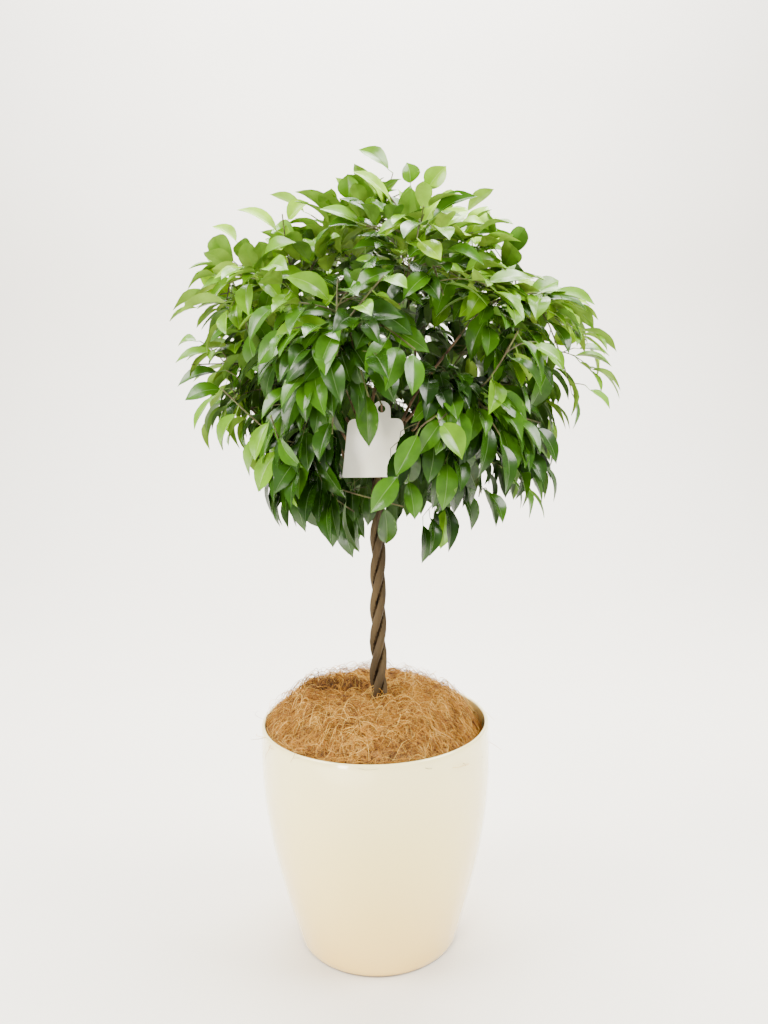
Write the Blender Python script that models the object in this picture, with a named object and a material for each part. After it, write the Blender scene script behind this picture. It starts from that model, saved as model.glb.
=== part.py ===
"""A standard, or lollipop, weeping fig in a glossy round pot.

Three stems twist round each other into one clear trunk. Above it they part into leaders, and
boughs carry a round, open crown of twelve masses of weeping leaves. The pot holds a root ball
under a nest of coconut fibre, and a blank card hangs by its hole from a short bare spur in front.

Metres, +Z up. The origin is the centre of the pot's flat underside, and the front is -Y.
"""

import math
import random

import bmesh
import bpy
from mathutils import Matrix, Vector, noise
from mathutils.bvhtree import BVHTree

UP = Vector((0, 0, 1))
GAP = 0.0003  # between any two separate pieces

# The pot: a tall bowl whose side swells from the foot to a belly just under the rim.
POT_HEIGHT = 0.303
POT_FOOT_RADIUS = 0.1065
POT_BELLY_RADIUS = 0.1513
POT_BELLY_HEIGHT = 0.255
POT_RIM_RADIUS = 0.1495
POT_WALL = 0.0046
POT_FLOOR = 0.006
POT_FOOT_ROUND = 0.003
POT_SEGMENTS = 28
POT_INNER_HEIGHTS = (POT_FLOOR, 0.08, 0.18, 0.272, 0.29)

# What fills it: a root ball, then coconut fibre heaped like a nest round the trunk.
SOIL_TOP = POT_INNER_HEIGHTS[-2]
FIBRE_EDGE = 0.2965
FIBRE_CREST = 0.333
FIBRE_HOLLOW = 0.329
FIBRE_CREST_AT = 0.58  # share of the way from the trunk to the wall
FIBRE_SLUMP = 0.009  # how much lower it lies at the wall on the right
FIBRE_HOLE = 0.0172
FIBRE_LUMP = 0.004
FIBRE_RINGS = 7

# The trunk: three stems twisted like a rope, leaning slightly to the right.
STEMS = 3
STEM_RADIUS = 0.0053
STEM_TAPER = 0.77  # radius at the top of the twist over that at the bottom
FLARE = 0.0016  # extra stem radius at the soil
FLARE_HEIGHT = 0.035
TWIST_PITCH = 0.137
TWIST_SEAM = 0.374  # a seam between two stems faces the front at this height
TWIST_TOP = 0.625
TRUNK_FOOT = Vector((0.0040, 0, SOIL_TOP + GAP))
TRUNK_LEAN = 0.016
STEM_SIDES = 6
LEADER_RISE = 0.068
LEADER_SPREAD = 0.036
LEADER_TIP_RADIUS = 0.0029
LEADER_STEPS = 6

# The crown, measured from its heart.
HEART = Vector((0.020, 0, 0.765))
CROWN_RADIUS = 0.258
# Where the outline swells or dips: azimuth, elevation and width in degrees, and the gain.
SWELLS = (
    (0, -10, 30, 0.038),
    (0, -46, 14, 0.050),
    (180, -32, 15, -0.050),
    (0, 31, 11, -0.062),
    (0, 89, 12, 0.030),
    (180, 43, 14, 0.012),
    (180, 6, 22, 0.036),
    (0, 4, 16, 0.020),
    (180, 52, 14, 0.016),
    (180, -46, 12, -0.018),
    (180, 66, 13, -0.022),
    (180, -30, 10, -0.015),
)
# The masses of foliage go down a spiral round the heart, between these two rises.
MASSES = 12
MASS_TOP = 0.88
MASS_FOOT = -0.64
MASS_TURN = 150
BOUGH_REACH = 0.105
BOUGH_RADIUS = 0.0023
BOUGH_TIP_RADIUS = 0.0014
BOUGH_SIDES = 5
BOUGH_STEPS = 4
MASS_CENTRE = 0.165

TWIGS = 118
TWIG_FOOT = -0.93
TWIG_SHORTEST = 0.42  # some twigs stop short of the outline by up to this share
TWIG_RADIUS = 0.0011
TWIG_TIP_RADIUS = 0.0009
TWIG_ROOT = 0.3
TWIG_SIDES = 3
TWIG_STEPS = 3
LEAF_OVERHANG = 0.036  # how far the outermost leaves reach past their twigs, at the sides
LEAF_UNDERHANG = 0.4  # and how much further straight down, as a share of that
LEAF_SPACING = 0.0225
LEAF_LENGTH = 0.066
LEAF_WIDTH = 0.0315
LEAF_THICK = 0.0011
LEAF_SUNK = 0.0001
LEAF_RISE = 0.20  # how strongly leaves turn up at the top of the crown
LEAF_FALL = 1.05  # and how fast that becomes a droop, going down
TWIG_TRIES = 12
LEAF_TRIES = 14
LEAF_SEED = 38
LEAF_POINTS = 6  # vertices of one leaf
SEAM = 0.000001
FUSE_TRIES = 6

# The blank card. Its tab hangs by a round hole on a bare spur, in front of the trunk.
CARD_HOLE = Vector((0.0160, -0.088, 0.7137))  # the middle of the hole
CARD_HOLE_RADIUS = 0.0045
CARD_HOLE_SIDES = 10
CARD_THICK = 0.001
CARD_TAB_HALF = 0.0105
CARD_SHOULDER = -0.0112  # heights here are measured from the hole
CARD_FOOT = -0.0797
CARD_MIDDLE = -0.0075  # the card's middle, to the left of its hole
CARD_TOP_HALF = 0.0325
CARD_FOOT_HALF = 0.0400
CARD_CORNER = 0.008
WINDOW_DEPTH = 0.16
WINDOW_RIGHT = 0.006
WINDOW_OVER = 0.004
SPUR_SHARE = 0.45  # how far along the leader it leaves
SPUR_PAST = 0.014
SPUR_RADIUS = 0.0018
SPUR_TIP_RADIUS = 0.0012


def unit(azimuth, elevation):
    """The unit vector at these angles in degrees: azimuth 0 is +X and 90 is +Y."""
    a, e = math.radians(azimuth), math.radians(elevation)
    return Vector((math.cos(a) * math.cos(e), math.sin(a) * math.cos(e), math.sin(e)))


def clear_scene():
    for obj in list(bpy.data.objects):
        bpy.data.objects.remove(obj, do_unlink=True)


def material(name, colour, roughness, metallic=0.0):
    made = bpy.data.materials.new(name)
    made.use_nodes = True
    shader = made.node_tree.nodes["Principled BSDF"]
    shader.inputs["Base Color"].default_value = (*colour, 1)
    shader.inputs["Roughness"].default_value = roughness
    shader.inputs["Metallic"].default_value = metallic
    made.diffuse_color = (*colour, 1)
    return made


def add_object(name, vertices, faces, finish, sharp_angle=40):
    mesh = bpy.data.meshes.new(name)
    mesh.from_pydata([tuple(v) for v in vertices], [], faces)
    mesh.validate()
    mesh.materials.append(finish)
    mesh.shade_smooth()
    mesh.set_sharp_from_angle(angle=math.radians(sharp_angle))
    obj = bpy.data.objects.new(name, mesh)
    bpy.context.scene.collection.objects.link(obj)
    return obj


# ---------------------------------------------------------------- turned and swept shapes


def turned(name, profile, segments, finish):
    """A solid of revolution about Z. The profile of (radius, height) starts and ends on the axis."""
    work = bmesh.new()
    points = [work.verts.new((radius, 0, height)) for radius, height in profile]
    edges = [work.edges.new(pair) for pair in zip(points, points[1:])]
    bmesh.ops.spin(
        work,
        geom=points + edges,
        axis=UP,
        cent=(0, 0, 0),
        angle=math.tau,
        steps=segments,
        use_merge=True,
    )
    bmesh.ops.remove_doubles(work, verts=work.verts, dist=1e-6)
    bmesh.ops.recalc_face_normals(work, faces=work.faces)
    mesh = bpy.data.meshes.new(name)
    work.to_mesh(mesh)
    work.free()
    mesh.materials.append(finish)
    mesh.shade_smooth()
    mesh.set_sharp_from_angle(angle=math.radians(40))
    obj = bpy.data.objects.new(name, mesh)
    bpy.context.scene.collection.objects.link(obj)
    return obj


def tube(path, radii, sides, first=None):
    """Vertices and faces of a closed tube along a path. Its first ring may face a set way."""
    tangents = []
    for i in range(len(path)):
        ahead, behind = path[min(i + 1, len(path) - 1)], path[max(i - 1, 0)]
        tangents.append((ahead - behind).normalized())
    if first:
        tangents[0] = first
    side = tangents[0].orthogonal().normalized()
    vertices, faces = [], []
    for point, tangent, radius in zip(path, tangents, radii):
        side = (side - tangent * side.dot(tangent)).normalized()
        other = tangent.cross(side)
        for k in range(sides):
            turn = math.tau * k / sides
            vertices.append(point + radius * (math.cos(turn) * side + math.sin(turn) * other))
    for ring in range(len(path) - 1):
        low, high = ring * sides, (ring + 1) * sides
        for k in range(sides):
            n = (k + 1) % sides
            faces.append((low + k, low + n, high + n, high + k))
    faces.append(tuple(reversed(range(sides))))
    last = (len(path) - 1) * sides
    faces.append(tuple(last + k for k in range(sides)))
    return vertices, faces


def bend(start, control, end, steps):
    """Points along a quadratic curve."""
    path = []
    for i in range(steps + 1):
        t = i / steps
        path.append(start * (1 - t) ** 2 + control * 2 * t * (1 - t) + end * t * t)
    return path


def along(path, share):
    """The point and direction at a share of a path's length."""
    lengths = [(b - a).length for a, b in zip(path, path[1:])]
    left = share * sum(lengths)
    for a, b, length in zip(path, path[1:], lengths):
        if left <= length or b is path[-1]:
            return a.lerp(b, min(1, left / length)), (b - a).normalized()
        left -= length
    return path[-1], (path[-1] - path[-2]).normalized()


# ---------------------------------------------------------------- pot, soil and fibre


def pot_radius(height):
    """The pot's outer radius: a quarter sine up to the belly, then slightly in to the rim."""
    if height <= POT_BELLY_HEIGHT:
        swell = math.sin(math.pi / 2 * height / POT_BELLY_HEIGHT)
        return POT_FOOT_RADIUS + (POT_BELLY_RADIUS - POT_FOOT_RADIUS) * swell
    above = (height - POT_BELLY_HEIGHT) / (POT_HEIGHT - POT_BELLY_HEIGHT)
    return POT_BELLY_RADIUS - (POT_BELLY_RADIUS - POT_RIM_RADIUS) * above**2


def inner_radius(height):
    return pot_radius(height) - POT_WALL


def make_pot(finish):
    lip = POT_WALL / 2
    profile = [(0, 0), (POT_FOOT_RADIUS - POT_FOOT_ROUND, 0)]
    profile.append((POT_FOOT_RADIUS - 0.3 * POT_FOOT_ROUND, 0.3 * POT_FOOT_ROUND))
    heights = [POT_FOOT_ROUND, 0.035, 0.08, 0.13, 0.18, 0.22, POT_BELLY_HEIGHT, 0.28]
    profile += [(pot_radius(z), z) for z in heights]
    for k in range(5):
        turn = math.pi * k / 4
        centre = POT_RIM_RADIUS - lip
        profile.append((centre + lip * math.cos(turn), POT_HEIGHT - lip + lip * math.sin(turn)))
    profile += [(inner_radius(z), z) for z in reversed(POT_INNER_HEIGHTS)]
    profile.append((0, POT_FLOOR))
    return turned("pot", profile, POT_SEGMENTS, finish)


def make_root_ball(finish):
    bottom = POT_FLOOR + GAP
    profile = [(0, bottom)]
    for height in (bottom, *POT_INNER_HEIGHTS[1:-1]):
        profile.append((inner_radius(height) - 2 * GAP, height))
    profile.append((0, SOIL_TOP))
    return turned("root_ball", profile, POT_SEGMENTS, finish)


def fibre_height(share, turn):
    """Top of the fibre at a share of the way from the trunk to the wall: a nest with lumps."""
    if share < FIBRE_CREST_AT:
        rise = math.sin(math.pi / 2 * share / FIBRE_CREST_AT)
        height = FIBRE_HOLLOW + (FIBRE_CREST - FIBRE_HOLLOW) * rise
    else:
        fall = (share - FIBRE_CREST_AT) / (1 - FIBRE_CREST_AT)
        height = FIBRE_CREST - (FIBRE_CREST - FIBRE_EDGE) * fall**1.4
    # The nest is lower at the front, where it slopes down to the rim.
    height -= 0.007 * max(0, -math.sin(turn)) * math.sin(math.pi * min(1, share * 1.1))
    height -= FIBRE_SLUMP * max(0, math.cos(turn)) ** 2 * share**2
    spot = Vector((math.cos(turn) * share, math.sin(turn) * share, 0)) * 3.1
    return height + FIBRE_LUMP * noise.noise(spot) * math.sin(math.pi * min(1, share + 0.05))


def make_fibre(finish):
    """A ring of heaped fibre. Its hole lets the trunk through, and its rim meets the wall."""
    wall = inner_radius(SOIL_TOP) - 3 * GAP
    top_wall = inner_radius(FIBRE_EDGE) - 3 * GAP
    vertices = []
    loops = []
    for k in range(POT_SEGMENTS):
        turn = math.tau * k / POT_SEGMENTS
        spoke = Vector((math.cos(turn), math.sin(turn), 0))
        loop = [TRUNK_FOOT.xy.to_3d() + spoke * FIBRE_HOLE + UP * (SOIL_TOP + GAP)]
        for ring in range(FIBRE_RINGS + 1):
            share = ring / FIBRE_RINGS
            radius = FIBRE_HOLE + (top_wall - FIBRE_HOLE) * share
            spot = TRUNK_FOOT.xy.to_3d() * (1 - share) + spoke * radius
            loop.append(spot + UP * fibre_height(share, turn))
        loop.append(spoke * wall + UP * (SOIL_TOP + GAP))
        loops.append(range(len(vertices), len(vertices) + len(loop)))
        vertices += loop
    faces = []
    for k in range(POT_SEGMENTS):
        this, after = loops[k], loops[(k + 1) % POT_SEGMENTS]
        for i in range(len(this)):
            j = (i + 1) % len(this)
            faces.append((this[i], after[i], after[j], this[j]))
    obj = add_object("coconut_fibre", vertices, faces, finish)
    work = bmesh.new()
    work.from_mesh(obj.data)
    bmesh.ops.recalc_face_normals(work, faces=work.faces)
    work.to_mesh(obj.data)
    work.free()
    return obj


# ---------------------------------------------------------------- trunk and boughs


def trunk_axis(height):
    """The middle of the twisted trunk at a height."""
    rise = height - TRUNK_FOOT.z
    return Vector((TRUNK_FOOT.x + TRUNK_LEAN * rise, TRUNK_FOOT.y, height))


def stem_radius(height):
    share = (height - TRUNK_FOOT.z) / (TWIST_TOP - TRUNK_FOOT.z)
    flare = FLARE * max(0, 1 - (height - TRUNK_FOOT.z) / FLARE_HEIGHT) ** 2
    return STEM_RADIUS * (1 - (1 - STEM_TAPER) * share) + flare


def stem_azimuth(stem, height):
    """Degrees round the trunk's axis. It grows with height, so the rope is right-handed."""
    seam = 270 + 360 * (height - TWIST_SEAM) / TWIST_PITCH
    return seam + 360 / STEMS * (stem + 0.5)


def stem_point(stem, height):
    """The middle of one stem, just clear of its neighbours in the rope."""
    spread = stem_radius(height) * 2 / math.sqrt(3) * 1.05 + GAP
    return trunk_axis(height) + spread * unit(stem_azimuth(stem, height), 0)


def stem_line(stem):
    """One stem's path and radii, from the soil through the twist to its leader's tip."""
    steps = 24
    path, radii = [], []
    for i in range(steps + 1):
        height = TRUNK_FOOT.z + (TWIST_TOP - TRUNK_FOOT.z) * i / steps
        path.append(stem_point(stem, height))
        radii.append(stem_radius(height))
    start = path[-1]
    heading = (path[-1] - path[-2]).normalized()
    end = start + unit(stem_azimuth(stem, TWIST_TOP), 0) * LEADER_SPREAD + UP * LEADER_RISE
    leader = bend(start, start + heading * 0.030, end, LEADER_STEPS)
    for i, point in enumerate(leader[1:], 1):
        path.append(point)
        radii.append(radii[steps] + (LEADER_TIP_RADIUS - radii[steps]) * i / LEADER_STEPS)
    return path, radii


def spiral(count, top, foot, turn):
    """Directions spaced evenly down a golden spiral, from one rise (sine) to another."""
    golden = math.pi * (3 - math.sqrt(5))
    found = []
    for k in range(count):
        rise = top + (foot - top) * k / (count - 1)
        flat = math.sqrt(1 - rise * rise)
        angle = math.radians(turn) + golden * k
        found.append(Vector((flat * math.cos(angle), flat * math.sin(angle), rise)))
    return found


def masses():
    """Each mass of foliage: its name and its direction from the heart of the crown."""
    ways = spiral(MASSES, MASS_TOP, MASS_FOOT, MASS_TURN)
    return [(f"{k + 1:02d}", way) for k, way in enumerate(ways)]


def azimuth_of(direction):
    return math.degrees(math.atan2(direction.y, direction.x))


def angle_between(a, b):
    return abs((a - b + 180) % 360 - 180)


def bough_line(leader, radii, share, tip):
    """A bough's path from the side of a leader, or on from its end where the share is 1."""
    root, heading = along(leader, share)
    if share == 1:
        out = heading
        root = root + out * GAP
    else:
        thick = radii[0] + (radii[-1] - radii[0]) * share
        out = tip - root
        out = (out - heading * out.dot(heading)).normalized()
        root = root + out * (thick + GAP)
    length = (tip - root).length
    line = bend(root, root + out * 0.30 * length + UP * 0.16 * length, tip, BOUGH_STEPS)
    line[1] = root + out * (line[1] - root).length
    return line


def bough_lines(leaders):
    """One bough for each mass, from the nearest leader, clear of every other: path and radii."""
    groups = [[] for _ in leaders]
    for label, direction in masses():
        azimuth = azimuth_of(direction)
        gaps = [
            angle_between(azimuth, stem_azimuth(stem, TWIST_TOP)) for stem in range(len(leaders))
        ]
        groups[gaps.index(min(gaps))].append((label, direction))
    step = (BOUGH_TIP_RADIUS - BOUGH_RADIUS) / BOUGH_STEPS
    taper = [BOUGH_RADIUS + step * i for i in range(BOUGH_STEPS + 1)]
    spur, thickness = spur_line(leaders)
    spur_shell = tube(spur, [radius + 2 * GAP for radius in thickness], BOUGH_SIDES)
    taken = [BVHTree.FromPolygons(*shell) for shell in (spur_shell, card_space())]
    lines = {}
    for (path, radii), group in zip(leaders, groups):
        leader, thick = path[-LEADER_STEPS - 1:], radii[-LEADER_STEPS - 1:]
        group.sort(key=lambda item: -item[1].z)
        for rank, (label, direction) in enumerate(group):
            wanted = 1 if rank == 0 else 0.86 - 0.72 * rank / (len(group) - 1)
            for nudge in (0, -0.04, 0.04, -0.08, 0.08, -0.12, 0.12, -0.16, 0.16):
                share = wanted if wanted == 1 else wanted + nudge
                line = bough_line(leader, thick, share, HEART + direction * BOUGH_REACH)
                shell = tube(line, [radius + 2 * GAP for radius in taper], BOUGH_SIDES)
                tree = BVHTree.FromPolygons(*shell)
                if not any(tree.overlap(other) for other in taken):
                    break
            taken.append(tree)
            lines[label] = (line, taper)
    return lines


def spur_line(leaders):
    """The bare spur that the card hangs on, from the front leader forwards: path and radii."""
    path, radii = min(leaders, key=lambda leader: leader[0][-1].y)
    rest = CARD_HOLE + UP * (CARD_HOLE_RADIUS - SPUR_TIP_RADIUS - 2 * GAP)
    leader, thick = path[-LEADER_STEPS - 1:], radii[-LEADER_STEPS - 1:]
    line = bough_line(leader, thick, SPUR_SHARE, rest)
    line.append(rest + Vector((0, -SPUR_PAST, SPUR_PAST * 0.2)))
    step = (SPUR_TIP_RADIUS - SPUR_RADIUS) / (len(line) - 2)
    taper = [SPUR_RADIUS + step * i for i in range(len(line) - 1)] + [SPUR_TIP_RADIUS]
    return line, taper


# ---------------------------------------------------------------- card


def arc(middle_x, middle_z, radius, start, end, steps):
    """Points of an arc in the card's plane, its angles in degrees."""
    points = []
    for i in range(steps + 1):
        turn = math.radians(start + (end - start) * i / steps)
        points.append((middle_x + radius * math.cos(turn), middle_z + radius * math.sin(turn)))
    return points


def card_outline():
    """The right half and then the left half of the card, seen from the front."""
    c = CARD_CORNER
    half = arc(CARD_TOP_HALF - c, CARD_SHOULDER - c, c, 90, 5, 4)
    half += arc(CARD_FOOT_HALF - c / 4, CARD_FOOT + c / 4, c / 4, 0, -90, 2)
    right = [(CARD_MIDDLE + x, z) for x, z in half]
    left = [(CARD_MIDDLE - x, z) for x, z in reversed(half)]
    tab = [(-CARD_TAB_HALF, CARD_SHOULDER)]
    tab += arc(0, -0.001, CARD_TAB_HALF, 180, 0, 8)
    tab += [(CARD_TAB_HALF, CARD_SHOULDER)]
    return right + left + tab


def make_card(finish):
    """A flat plate with a tab, cut through by the hole that it hangs from."""
    outline = card_outline()
    count = len(outline)
    half = CARD_THICK / 2
    vertices = [Vector((x, y, z)) for y in (-half, half) for x, z in outline]
    faces = [tuple(reversed(range(count))), tuple(range(count, 2 * count))]
    for i in range(count):
        j = (i + 1) % count
        faces.append((i, j, count + j, count + i))
    card = add_object("card", vertices, faces, finish)
    card.location = CARD_HOLE
    hole = turned("card_hole", [(0, -0.01), (CARD_HOLE_RADIUS, -0.01), (CARD_HOLE_RADIUS, 0.01),
                                (0, 0.01)], CARD_HOLE_SIDES, finish)
    hole.location = CARD_HOLE
    hole.rotation_euler = (math.pi / 2, 0, 0)
    hole.hide_render = True
    hole.display_type = "WIRE"
    cut = card.modifiers.new("hole", "BOOLEAN")
    cut.operation = "DIFFERENCE"
    cut.object = hole
    cut.solver = "EXACT"
    return card


def box_solid(low, high):
    spots = [(x, y, z) for x in (low.x, high.x) for y in (low.y, high.y) for z in (low.z, high.z)]
    faces = [(0, 1, 3, 2), (4, 6, 7, 5), (0, 4, 5, 1), (2, 3, 7, 6), (0, 2, 6, 4), (1, 5, 7, 3)]
    return [Vector(spot) for spot in spots], faces


def card_space():
    """A box round the card, for boughs and foliage to avoid."""
    low = CARD_HOLE + Vector((CARD_MIDDLE - CARD_FOOT_HALF, -CARD_THICK, CARD_FOOT))
    high = CARD_HOLE + Vector((CARD_MIDDLE + CARD_FOOT_HALF, CARD_THICK, CARD_TAB_HALF))
    return box_solid(low, high)


def card_window():
    """The space where the leaves part, so that the left of the card shows from the front."""
    low = CARD_HOLE + Vector((CARD_MIDDLE - CARD_FOOT_HALF, -WINDOW_DEPTH, CARD_FOOT))
    high = CARD_HOLE + Vector((WINDOW_RIGHT, -CARD_THICK, CARD_SHOULDER + WINDOW_OVER))
    return box_solid(low, high)


# ---------------------------------------------------------------- foliage


def outline_reach(direction):
    """Distance from the heart of the crown to its outline in a direction."""
    reach = CROWN_RADIUS
    for azimuth, elevation, width, gain in SWELLS:
        off = math.degrees(direction.angle(unit(azimuth, elevation)))
        reach += gain * math.exp(-((off / width) ** 2))
    return reach


def twig_reach(way):
    """How far the twigs go in a direction, so that drooping leaves end at the outline."""
    return outline_reach(way) - LEAF_OVERHANG * (1 + LEAF_UNDERHANG * max(0, -way.z))


def own_space(index, centres, point, margin):
    """True if a point is nearer this mass's centre than any other's, by a margin to the border."""
    mine = centres[index]
    for k, other in enumerate(centres):
        if k != index:
            across = other - mine
            if (point - (mine + other) / 2).dot(across) / across.length > -margin:
                return False
    return True


def leaf_solid(root, axis, normal, length, width):
    """A folded, arched leaf of eight faces. Its root is a point sunk in the twig."""
    side = axis.cross(normal).normalized()
    half = LEAF_THICK / 2
    middle = root + axis * 0.46 * length + normal * 0.07 * length
    lift = normal * 0.10 * width
    vertices = [
        root - axis * LEAF_SUNK,
        root + axis * length,
        middle + side * width / 2 + lift,
        middle - side * width / 2 + lift,
        middle + normal * half,
        middle - normal * half,
    ]
    faces = [(0, 2, 4), (2, 1, 4), (1, 3, 4), (3, 0, 4), (0, 5, 2), (2, 5, 1), (1, 5, 3)]
    faces += [(3, 5, 0)]
    return vertices, faces


def scatter(rng, size):
    return Vector((rng.uniform(-1, 1), rng.uniform(-1, 1), rng.uniform(-1, 1))) * size


def weeping(direction):
    """How far leaves droop: they rise at the top of the crown and hang straight down under it."""
    return LEAF_FALL * (1 - direction.z) - LEAF_RISE


def leaf_axes(point, tangent, side, rng):
    """Which way a leaf points, and its upper face's normal."""
    outward = (point - HEART).normalized()
    axis = tangent * 0.5 + side * 0.75 - UP * weeping(outward) + outward * 0.15
    axis = (axis + scatter(rng, 0.28)).normalized()
    normal = UP * 0.6 + outward * 0.8 + scatter(rng, 0.35)
    normal -= axis * normal.dot(axis)
    return axis, normal.normalized()


def mass_stem(direction, bough):
    """The stem of a mass: on from its bough's tip, by a small gap, to the crown's outline."""
    out = (bough[-1] - bough[-2]).normalized()
    root = bough[-1] + out * GAP
    tip = HEART + direction * twig_reach(direction)
    length = (tip - root).length
    return bend(root, root + out * 0.45 * length + UP * 0.10 * length, tip, 5)


def twig_path(stem, share, end, arch):
    """A twig that forks from the stem, rises a little and arches over to its end."""
    start, heading = along(stem, share)
    span = (end - start).length
    return bend(start, start + (heading * 0.35 + UP * arch) * span, end, TWIG_STEPS)


def leaf_sites(path, first, rng):
    """Places for leaves on alternate sides of a twig, and one at its tip."""
    reach = sum((b - a).length for a, b in zip(path, path[1:]))
    count = max(1, round(reach * (1 - first) / LEAF_SPACING))
    sites = []
    for k in range(count + 1):
        share = min(1, first + (1 - first) * (k + rng.uniform(-0.2, 0.2)) / count)
        point, tangent = along(path, max(0.05, share))
        across = tangent.cross(UP if abs(tangent.z) < 0.95 else Vector((1, 0, 0))).normalized()
        at_tip = k == count
        side = across * (1 if k % 2 else -1) * (0.15 if at_tip else 1)
        size = rng.uniform(0.84, 1.12) * (0.86 if at_tip else 1)
        sites.append((point, tangent, side, size))
    return sites


class Mass:
    """One mass of foliage: solids that keep to its own space, joined through its stem."""

    def __init__(self, index, centres, direction, bough, limbs):
        self.rng = random.Random(LEAF_SEED * 1000 + index)
        self.index, self.centres, self.direction = index, centres, direction
        self.limbs = limbs
        self.solids, self.trees, self.sites = [], [], []
        self.stem = mass_stem(direction, bough)
        self.add_twig(self.stem, TWIG_RADIUS * 1.15, 0.30)

    def own(self, way):
        """True if a direction from the heart of the crown is this mass's to fill."""
        nearness = [centre.dot(way) - HEART.dot(way) for centre in self.centres]
        return nearness.index(max(nearness)) == self.index

    def clear(self, solid, twig):
        """True if a solid keeps to this mass's space, off the limbs and off all but its twig."""
        vertices, faces = solid
        if not all(own_space(self.index, self.centres, v, GAP) for v in vertices):
            return False
        tree = BVHTree.FromPolygons(vertices, faces)
        if tree.overlap(self.limbs):
            return False
        return not any(tree.overlap(other) for k, other in enumerate(self.trees) if k != twig)

    def add(self, solid):
        self.solids.append(solid)
        self.trees.append(BVHTree.FromPolygons(*solid))

    def add_twig(self, path, radius, first):
        step = (TWIG_TIP_RADIUS - radius) / (len(path) - 1)
        radii = [radius + step * i for i in range(len(path))]
        if self.solids:
            radii[0] *= TWIG_ROOT  # its narrow root lies wholly inside the stem
        self.add(tube(path, radii, TWIG_SIDES))
        twig = len(self.solids) - 1
        self.sites += [(twig, *site) for site in leaf_sites(path, first, self.rng)]

    def grow_twigs(self):
        for way in spiral(TWIGS, 1 - 1 / TWIGS, TWIG_FOOT, 0):
            if not self.own(way) or way.dot(self.direction) > 0.99:
                continue
            share = 1 - TWIG_SHORTEST * self.rng.random() ** 2
            end = HEART + way * twig_reach(way) * share
            for _ in range(TWIG_TRIES):
                path = twig_path(self.stem, self.rng.uniform(0.06, 0.75), end, 0.16)
                thick = tube(path, [TWIG_RADIUS + GAP] * len(path), TWIG_SIDES)
                if self.clear(thick, 0):
                    self.add_twig(path, TWIG_RADIUS, 0.2)
                    break
                end += (path[0] - end) * 0.06

    def grow_leaves(self):
        """A leaf at each site, the outermost first, swung round its twig until it is clear."""
        self.sites.sort(key=lambda site: -(site[1] - HEART).length)
        for twig, point, tangent, side, size in self.sites:
            for attempt in range(LEAF_TRIES):
                swing = 0.3 + 1.3 * attempt / LEAF_TRIES
                roll = Matrix.Rotation(self.rng.uniform(-swing, swing), 3, tangent)
                axis, normal = leaf_axes(point, tangent, roll @ side, self.rng)
                leaf = leaf_solid(point, axis, normal, LEAF_LENGTH * size, LEAF_WIDTH * size)
                if self.clear(leaf, twig):
                    self.add(leaf)
                    break
                if attempt % 4 == 3:
                    side = -side
                    size *= 0.94


def keep_largest(mesh):
    """Removes every loose scrap of a mesh, keeping its largest set of faces joined by edges."""
    work = bmesh.new()
    work.from_mesh(mesh)
    left = set(work.faces)
    pieces = []
    while left:
        piece, front = [], [left.pop()]
        while front:
            face = front.pop()
            piece.append(face)
            for edge in face.edges:
                if edge.is_manifold:
                    for other in edge.link_faces:
                        if other in left:
                            left.remove(other)
                            front.append(other)
        pieces.append(piece)
    pieces.sort(key=len)
    scraps = [face for piece in pieces[:-1] for face in piece]
    bmesh.ops.delete(work, geom=scraps, context="FACES")
    work.to_mesh(mesh)
    work.free()


def fuse(name, solids, finish, solver="EXACT"):
    """One object from many solids: the first, with a Boolean union of all the others."""
    base = add_object(name, *solids[0], finish)
    rest = bpy.data.collections.new(name + "_pieces")
    bpy.context.scene.collection.children.link(rest)
    for k, (vertices, faces) in enumerate(solids[1:]):
        piece = add_object(f"{name}_piece_{k}", vertices, faces, finish)
        bpy.context.scene.collection.objects.unlink(piece)
        rest.objects.link(piece)
    union = base.modifiers.new("union", "BOOLEAN")
    union.operation = "UNION"
    union.operand_type = "COLLECTION"
    union.collection = rest
    union.solver = solver
    graph = bpy.context.evaluated_depsgraph_get()
    fused = bpy.data.meshes.new_from_object(base.evaluated_get(graph))
    base.modifiers.clear()
    base.data = fused
    for piece in list(rest.objects):
        bpy.data.objects.remove(piece, do_unlink=True)
    bpy.data.collections.remove(rest)
    keep_largest(fused)
    return base


def seams(mesh):
    """Middles of the edges where a surface meets itself, with points this close taken as one."""
    work = bmesh.new()
    work.from_mesh(mesh)
    bmesh.ops.remove_doubles(work, verts=work.verts, dist=SEAM)
    found = [(edge.verts[0].co + edge.verts[1].co) / 2 for edge in work.edges if not edge.is_manifold]
    work.free()
    return found


def without_leaf(solids, spot):
    """The solids of a mass without its leaf nearest a spot."""
    def distance(index):
        vertices = solids[index][0]
        return (sum(vertices, Vector()) / len(vertices) - spot).length

    leaves = [index for index, (vertices, _) in enumerate(solids) if len(vertices) == LEAF_POINTS]
    dropped = min(leaves, key=distance)
    return [solid for index, solid in enumerate(solids) if index != dropped]


def fuse_cleanly(name, solids, finish):
    """Fuses a mass so that it meets itself nowhere: with the other solver, and then with fewer leaves."""
    for _ in range(FUSE_TRIES):
        for solver in ("EXACT", "MANIFOLD"):
            mass = fuse(name, solids, finish, solver)
            found = seams(mass.data)
            if not found:
                return mass
            bpy.data.objects.remove(mass, do_unlink=True)
        solids = without_leaf(solids, found[0])
    return fuse(name, solids, finish)


# ---------------------------------------------------------------- assembly


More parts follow.
